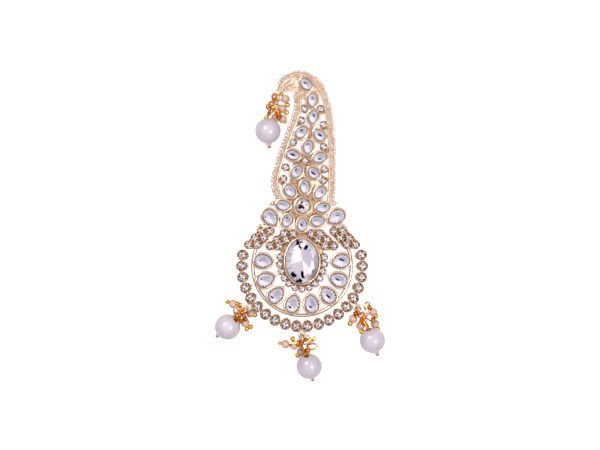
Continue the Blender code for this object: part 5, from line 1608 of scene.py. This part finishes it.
@dataclass
class Drops:
    """The four hanging pearls with their rings, pins and small beads."""

    finishes: Finishes
    pearl: float = 10.0 * MM
    bore: float = 1.3 * MM
    pearl_bands: int = 36
    pearl_sides: int = 56
    ring_radius: float = 1.7 * MM
    ring_wire: float = 0.8 * MM
    ring_tilt: float = 70.0
    loop_radius: float = 1.15 * MM
    loop_wire: float = 0.72 * MM
    pin_wire: float = 0.7 * MM
    collar_radius: float = 0.75 * MM
    collar_wire: float = 0.45 * MM
    pin_before: float = 0.8 * MM
    pin_after: float = 0.6 * MM
    collar_before: float = 0.15 * MM
    nub_sunk: float = 0.3 * MM
    tip: float = 1.5 * MM
    tip_sunk: float = 0.1 * MM
    bead: float = 3.5 * MM
    bead_tall: float = 0.94
    bead_lead: float = 0.3 * MM
    bead_wire: float = 0.48 * MM
    mark_step: float = 0.17
    ball_growth: float = 1.15
    end_rise: float = 0.25
    wire: float = 0.64 * MM
    pale_wire: float = 0.75 * MM
    coil_pitch: float = 0.62 * MM
    coil_steps: int = 14
    loop_steps: int = 28
    loop_wave: float = 0.12 * MM

    def build(self) -> None:
        """All four."""
        for hanger in HANGERS:
            self.jump_ring(hanger)
            self.round_pearl(hanger)
            self.dangle(hanger)

    def jump_ring(self, hanger: Hanger) -> None:
        """The ring that joins the eye and the loop."""
        pile = Pile()
        middle = polar(self.ring_radius, hanger.chain, mm(*hanger.eye))
        tilt = Matrix.Rotation(math.radians(self.ring_tilt), 4, "X")
        pile.ring(at(middle, EYE_LEVEL, hanger.chain) @ tilt, self.ring_radius, self.ring_wire)
        show(f"joining_ring_{hanger.name}", pile.mesh("joining_ring"), (self.finishes.pale,),
             [f"jump_ring_{hanger.name}"])

    def pin_way(self, hanger: Hanger) -> Vector:
        """The way that the pin runs through the pearl, from its loop to its tip."""
        droop = math.radians(hanger.droop)
        return Vector((*polar(math.cos(droop), hanger.pin), -math.sin(droop)))

    def pearl_middle(self, hanger: Hanger) -> Vector:
        """The middle of the pearl."""
        return Vector((*mm(*hanger.pearl), self.pearl / 2))

    def round_pearl(self, hanger: Hanger) -> None:
        """The drilled pearl."""
        pile = Pile()
        start = math.asin(self.bore / self.pearl)
        turns = [start + (math.pi - 2 * start) * band / self.pearl_bands
                 for band in range(self.pearl_bands + 1)]
        profile = [(self.pearl / 2 * math.sin(turn), -self.pearl / 2 * math.cos(turn)) for turn in turns]
        pile.lathe(profile, self.pearl_sides, along(self.pearl_middle(hanger), self.pin_way(hanger)),
                   closed=True, unit=self.pearl / 2)
        show(f"pearl_{hanger.name}_skin", pile.mesh("pearl"), (self.finishes.pearl,),
             [f"pearl_{hanger.name}"])

    def dangle(self, hanger: Hanger) -> None:
        """The loop, the pin with its nub and tip, coils and loops of wire, and the small beads."""
        metal, milky = Pile(), Pile()
        loop = polar(2 * self.ring_radius, hanger.chain, mm(*hanger.eye))
        metal.ring(at(loop, EYE_LEVEL), self.loop_radius, self.loop_wire)
        self.head_pin(metal, milky, hanger, loop)
        for index, bead in enumerate(hanger.beads):
            self.small_bead(metal, milky, loop, bead, index)
        upright = Matrix.Rotation(math.radians(90.0), 4, "Y")
        for coil in hanger.coils:
            spot = at(mm(coil.across, coil.up), coil.level * MM, coil.way)
            self.wrapped(metal, spot @ upright, coil.radius * MM, coil.turns)
        for index, ring in enumerate(hanger.loops):
            self.wire_loop(metal, ring, index)
        show(f"dangle_{hanger.name}_wire", metal.mesh("dangle_wire"),
             (self.finishes.deep, self.finishes.pale, self.finishes.ball),
             [f"dangle_{hanger.name}"])
        show(f"dangle_{hanger.name}_beads", milky.mesh("dangle_beads"),
             (self.finishes.milky, self.finishes.pearl), [f"dangle_{hanger.name}"])

    def head_pin(self, metal: Pile, milky: Pile, hanger: Hanger, loop: Vector) -> None:
        """The pin from the loop through the pearl, with a collar before it, a nub and a tip after it."""
        middle, way, half = self.pearl_middle(hanger), self.pin_way(hanger), self.pearl / 2
        lead = middle - way * (half + self.pin_before)
        toward = math.degrees(math.atan2(lead.y - loop.y, lead.x - loop.x))
        start = Vector((*polar(self.loop_radius, toward, loop), EYE_LEVEL))
        end = MIDDLE + middle + way * (half + self.pin_after)
        metal.tube([MIDDLE + start, MIDDLE + lead, end], self.pin_wire)
        collar = along(middle - way * (half + self.collar_before), way)
        metal.ring(collar, self.collar_radius, self.collar_wire, 20, 8)
        nub = [(share * MM, level * hanger.nub * MM) for share, level in NUB_PROFILE]
        milky.lathe(nub, 28, along(middle + way * (half - self.nub_sunk), way), 1)
        metal.ball(along(middle + way * (half + hanger.nub * MM - self.tip_sunk), way), self.tip, 14)

    def small_bead(self, metal: Pile, milky: Pile, loop: Vector, bead: SmallBead, index: int) -> None:
        """One small bead on its pin, with a ball after it."""
        place = Vector((bead.across * MM, bead.up * MM, bead.level * MM))
        flat = mm(bead.end_across, bead.end_up) - place.xy
        reach = Vector((*flat, self.end_rise * flat.length))
        end, way = place + reach, reach.normalized()
        angle = math.degrees(math.atan2(place.y - loop.y, place.x - loop.x))
        start = Vector((*polar(self.loop_radius, angle, loop), EYE_LEVEL))
        near = place + (start - place).normalized() * (self.bead / 2 + self.bead_lead)
        line = smooth_line([start, (start + near) / 2, near, place, end], 5)
        metal.tube([MIDDLE + point for point in line], self.bead_wire)
        metal.ball(along(end, way), self.ball_growth * bead.end_size * MM, 16, 2)
        if not bead.shared:
            milky.ball(along(place, way), self.bead, 24, tall=self.bead_tall, mark=self.mark_step * index)

    def wrapped(self, pile: Pile, spot: Matrix, radius: float, turns: int) -> None:
        """Some turns of wire wrapped about a pin, centred on its place."""
        line = []
        for step in range(self.coil_steps * turns + 1):
            turn = math.tau * step / self.coil_steps
            line.append(spot @ Vector((radius * math.cos(turn), radius * math.sin(turn),
                                       self.coil_pitch * (step / self.coil_steps - turns / 2))))
        pile.tube(line, self.wire)

    def wire_loop(self, pile: Pile, ring: WireLoop, index: int) -> None:
        """A bare loop of wire beside the beads, open or closed."""
        spot = at(mm(ring.across, ring.up), ring.level * MM, ring.turn)
        spot = spot @ Matrix.Rotation(math.radians(ring.tilt), 4, "X")
        closed = ring.sweep >= 360.0
        gaps = self.loop_steps if closed else self.loop_steps - 1
        turns = [math.radians(ring.sweep * step / gaps) for step in range(self.loop_steps)]
        line = [spot @ Vector((ring.long * MM * math.cos(turn), ring.short * MM * math.sin(turn),
                               self.loop_wave * math.sin(turn + index))) for turn in turns]
        pile.tube(line, self.pale_wire if ring.pale else self.wire, 8, int(ring.pale), closed)


FLOOR_TONES = ((0.3, (0.60, 0.57, 0.55)), (0.7, (0.64, 0.61, 0.59)))
DOME_TONES = ((0.0, (0.30, 0.24, 0.22)), (0.3, (0.10, 0.07, 0.06)), (0.52, (0.36, 0.31, 0.30)),
              (0.74, (0.95, 0.93, 0.94)), (1.0, (1.1, 1.1, 1.12)))
LAMPS = (("box_left", (-0.26, 0.30, 0.5), 0.16, 1.3), ("box_right", (0.24, -0.10, 0.45), 0.13, 0.8))


@dataclass
class Studio:
    """Pale floor, soft light and the camera straight above."""

    frame_width: float = 235.2 * MM
    view_place: tuple[float, float] = (-0.78 * MM, 16.15 * MM)
    lens: float = 100.0
    sensor: float = 36.0
    clip: tuple[float, float] = (0.01, 10.0)
    subject_level: float = 7.0 * MM
    floor_half: float = 2.0
    floor_glow: tuple[float, float] = (0.1, 0.85)

    def floor(self) -> None:
        """A wide pale floor under the ornament."""
        mesh = bpy.data.meshes.new("studio_floor")
        corners = [(x * self.floor_half, y * self.floor_half, 0.0)
                   for x, y in ((-1, -1), (1, -1), (1, 1), (-1, 1))]
        mesh.from_pydata(corners, [], [(0, 1, 2, 3)])
        material, wiring, shader = new_material("pale_floor")
        place = wiring.node("ShaderNodeTexCoord").outputs["Object"]
        noise = wiring.node("ShaderNodeTexNoise", {"Vector": place, "Scale": 30.0}).outputs[0]
        seen = wiring.node("ShaderNodeLightPath").outputs["Is Camera Ray"]
        set_inputs(wiring, shader, Base_Color=wiring.ramp(noise, FLOOR_TONES), Roughness=0.9,
                   Specular_IOR_Level=0.1, Emission_Color=(1.0, 0.99, 0.99, 1.0),
                   Emission_Strength=wiring.spread(seen, (0.0, 1.0), self.floor_glow))
        mesh.materials.append(material)
        placed_object("studio_floor", mesh)

    def light(self) -> None:
        """A bright dome with a darker band that gives the metal its shadows, and two soft boxes."""
        world = bpy.data.worlds.new("studio")
        bpy.context.scene.world = world
        world.use_nodes = True
        wiring = Wiring(world.node_tree)
        way = wiring.node("ShaderNodeTexCoord").outputs["Generated"]
        axes = wiring.node("ShaderNodeSeparateXYZ", {0: way})
        set_inputs(wiring, world.node_tree.nodes["Background"],
                   Color=wiring.ramp(axes.outputs[2], DOME_TONES), Strength=1.0)
        for name, place, size, power in LAMPS:
            lamp = bpy.data.lights.new(name, "AREA")
            lamp.size = size
            lamp.energy = power
            thing = placed_object(name, lamp)
            thing.location = place
            thing.rotation_euler = (-Vector(place)).to_track_quat("-Z", "Y").to_euler()

    def camera(self) -> None:
        """The camera, straight above the place that the photograph is centred on."""
        data = bpy.data.cameras.new("camera")
        data.lens, data.sensor_width = self.lens, self.sensor
        data.clip_start, data.clip_end = self.clip
        camera = placed_object("camera", data)
        reach = self.frame_width * self.lens / self.sensor
        camera.location = MIDDLE + Vector((*self.view_place, self.subject_level + reach))
        bpy.context.scene.camera = camera

    def build(self) -> None:
        """Everything that isn't the ornament."""
        scene = bpy.context.scene
        scene.view_settings.view_transform = "Standard"
        scene.view_settings.look = "None"
        self.floor()
        self.light()
        self.camera()


def dress_pin(finishes: Finishes) -> None:
    """Give the plain pin behind its metal."""
    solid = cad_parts["brooch_pin"]
    solid.data.materials.clear()
    solid.data.materials.append(finishes.pale)


def main() -> None:
    """Build the studio and the ornament, part by part."""
    logging.basicConfig(level=logging.INFO, format="%(message)s")
    Studio().build()
    finishes = Finishes()
    bezels = Bezels(finishes)
    bezels.metal()
    bezels.stones()
    disc = Disc(finishes)
    disc.metal()
    disc.rows()
    disc.strip()
    Wings(finishes).build()
    neck = Neck(finishes)
    neck.borders()
    neck.plates()
    neck.rounds()
    neck.granules()
    Drops(finishes).build()
    dress_pin(finishes)


if __name__ == "__main__":
    main()
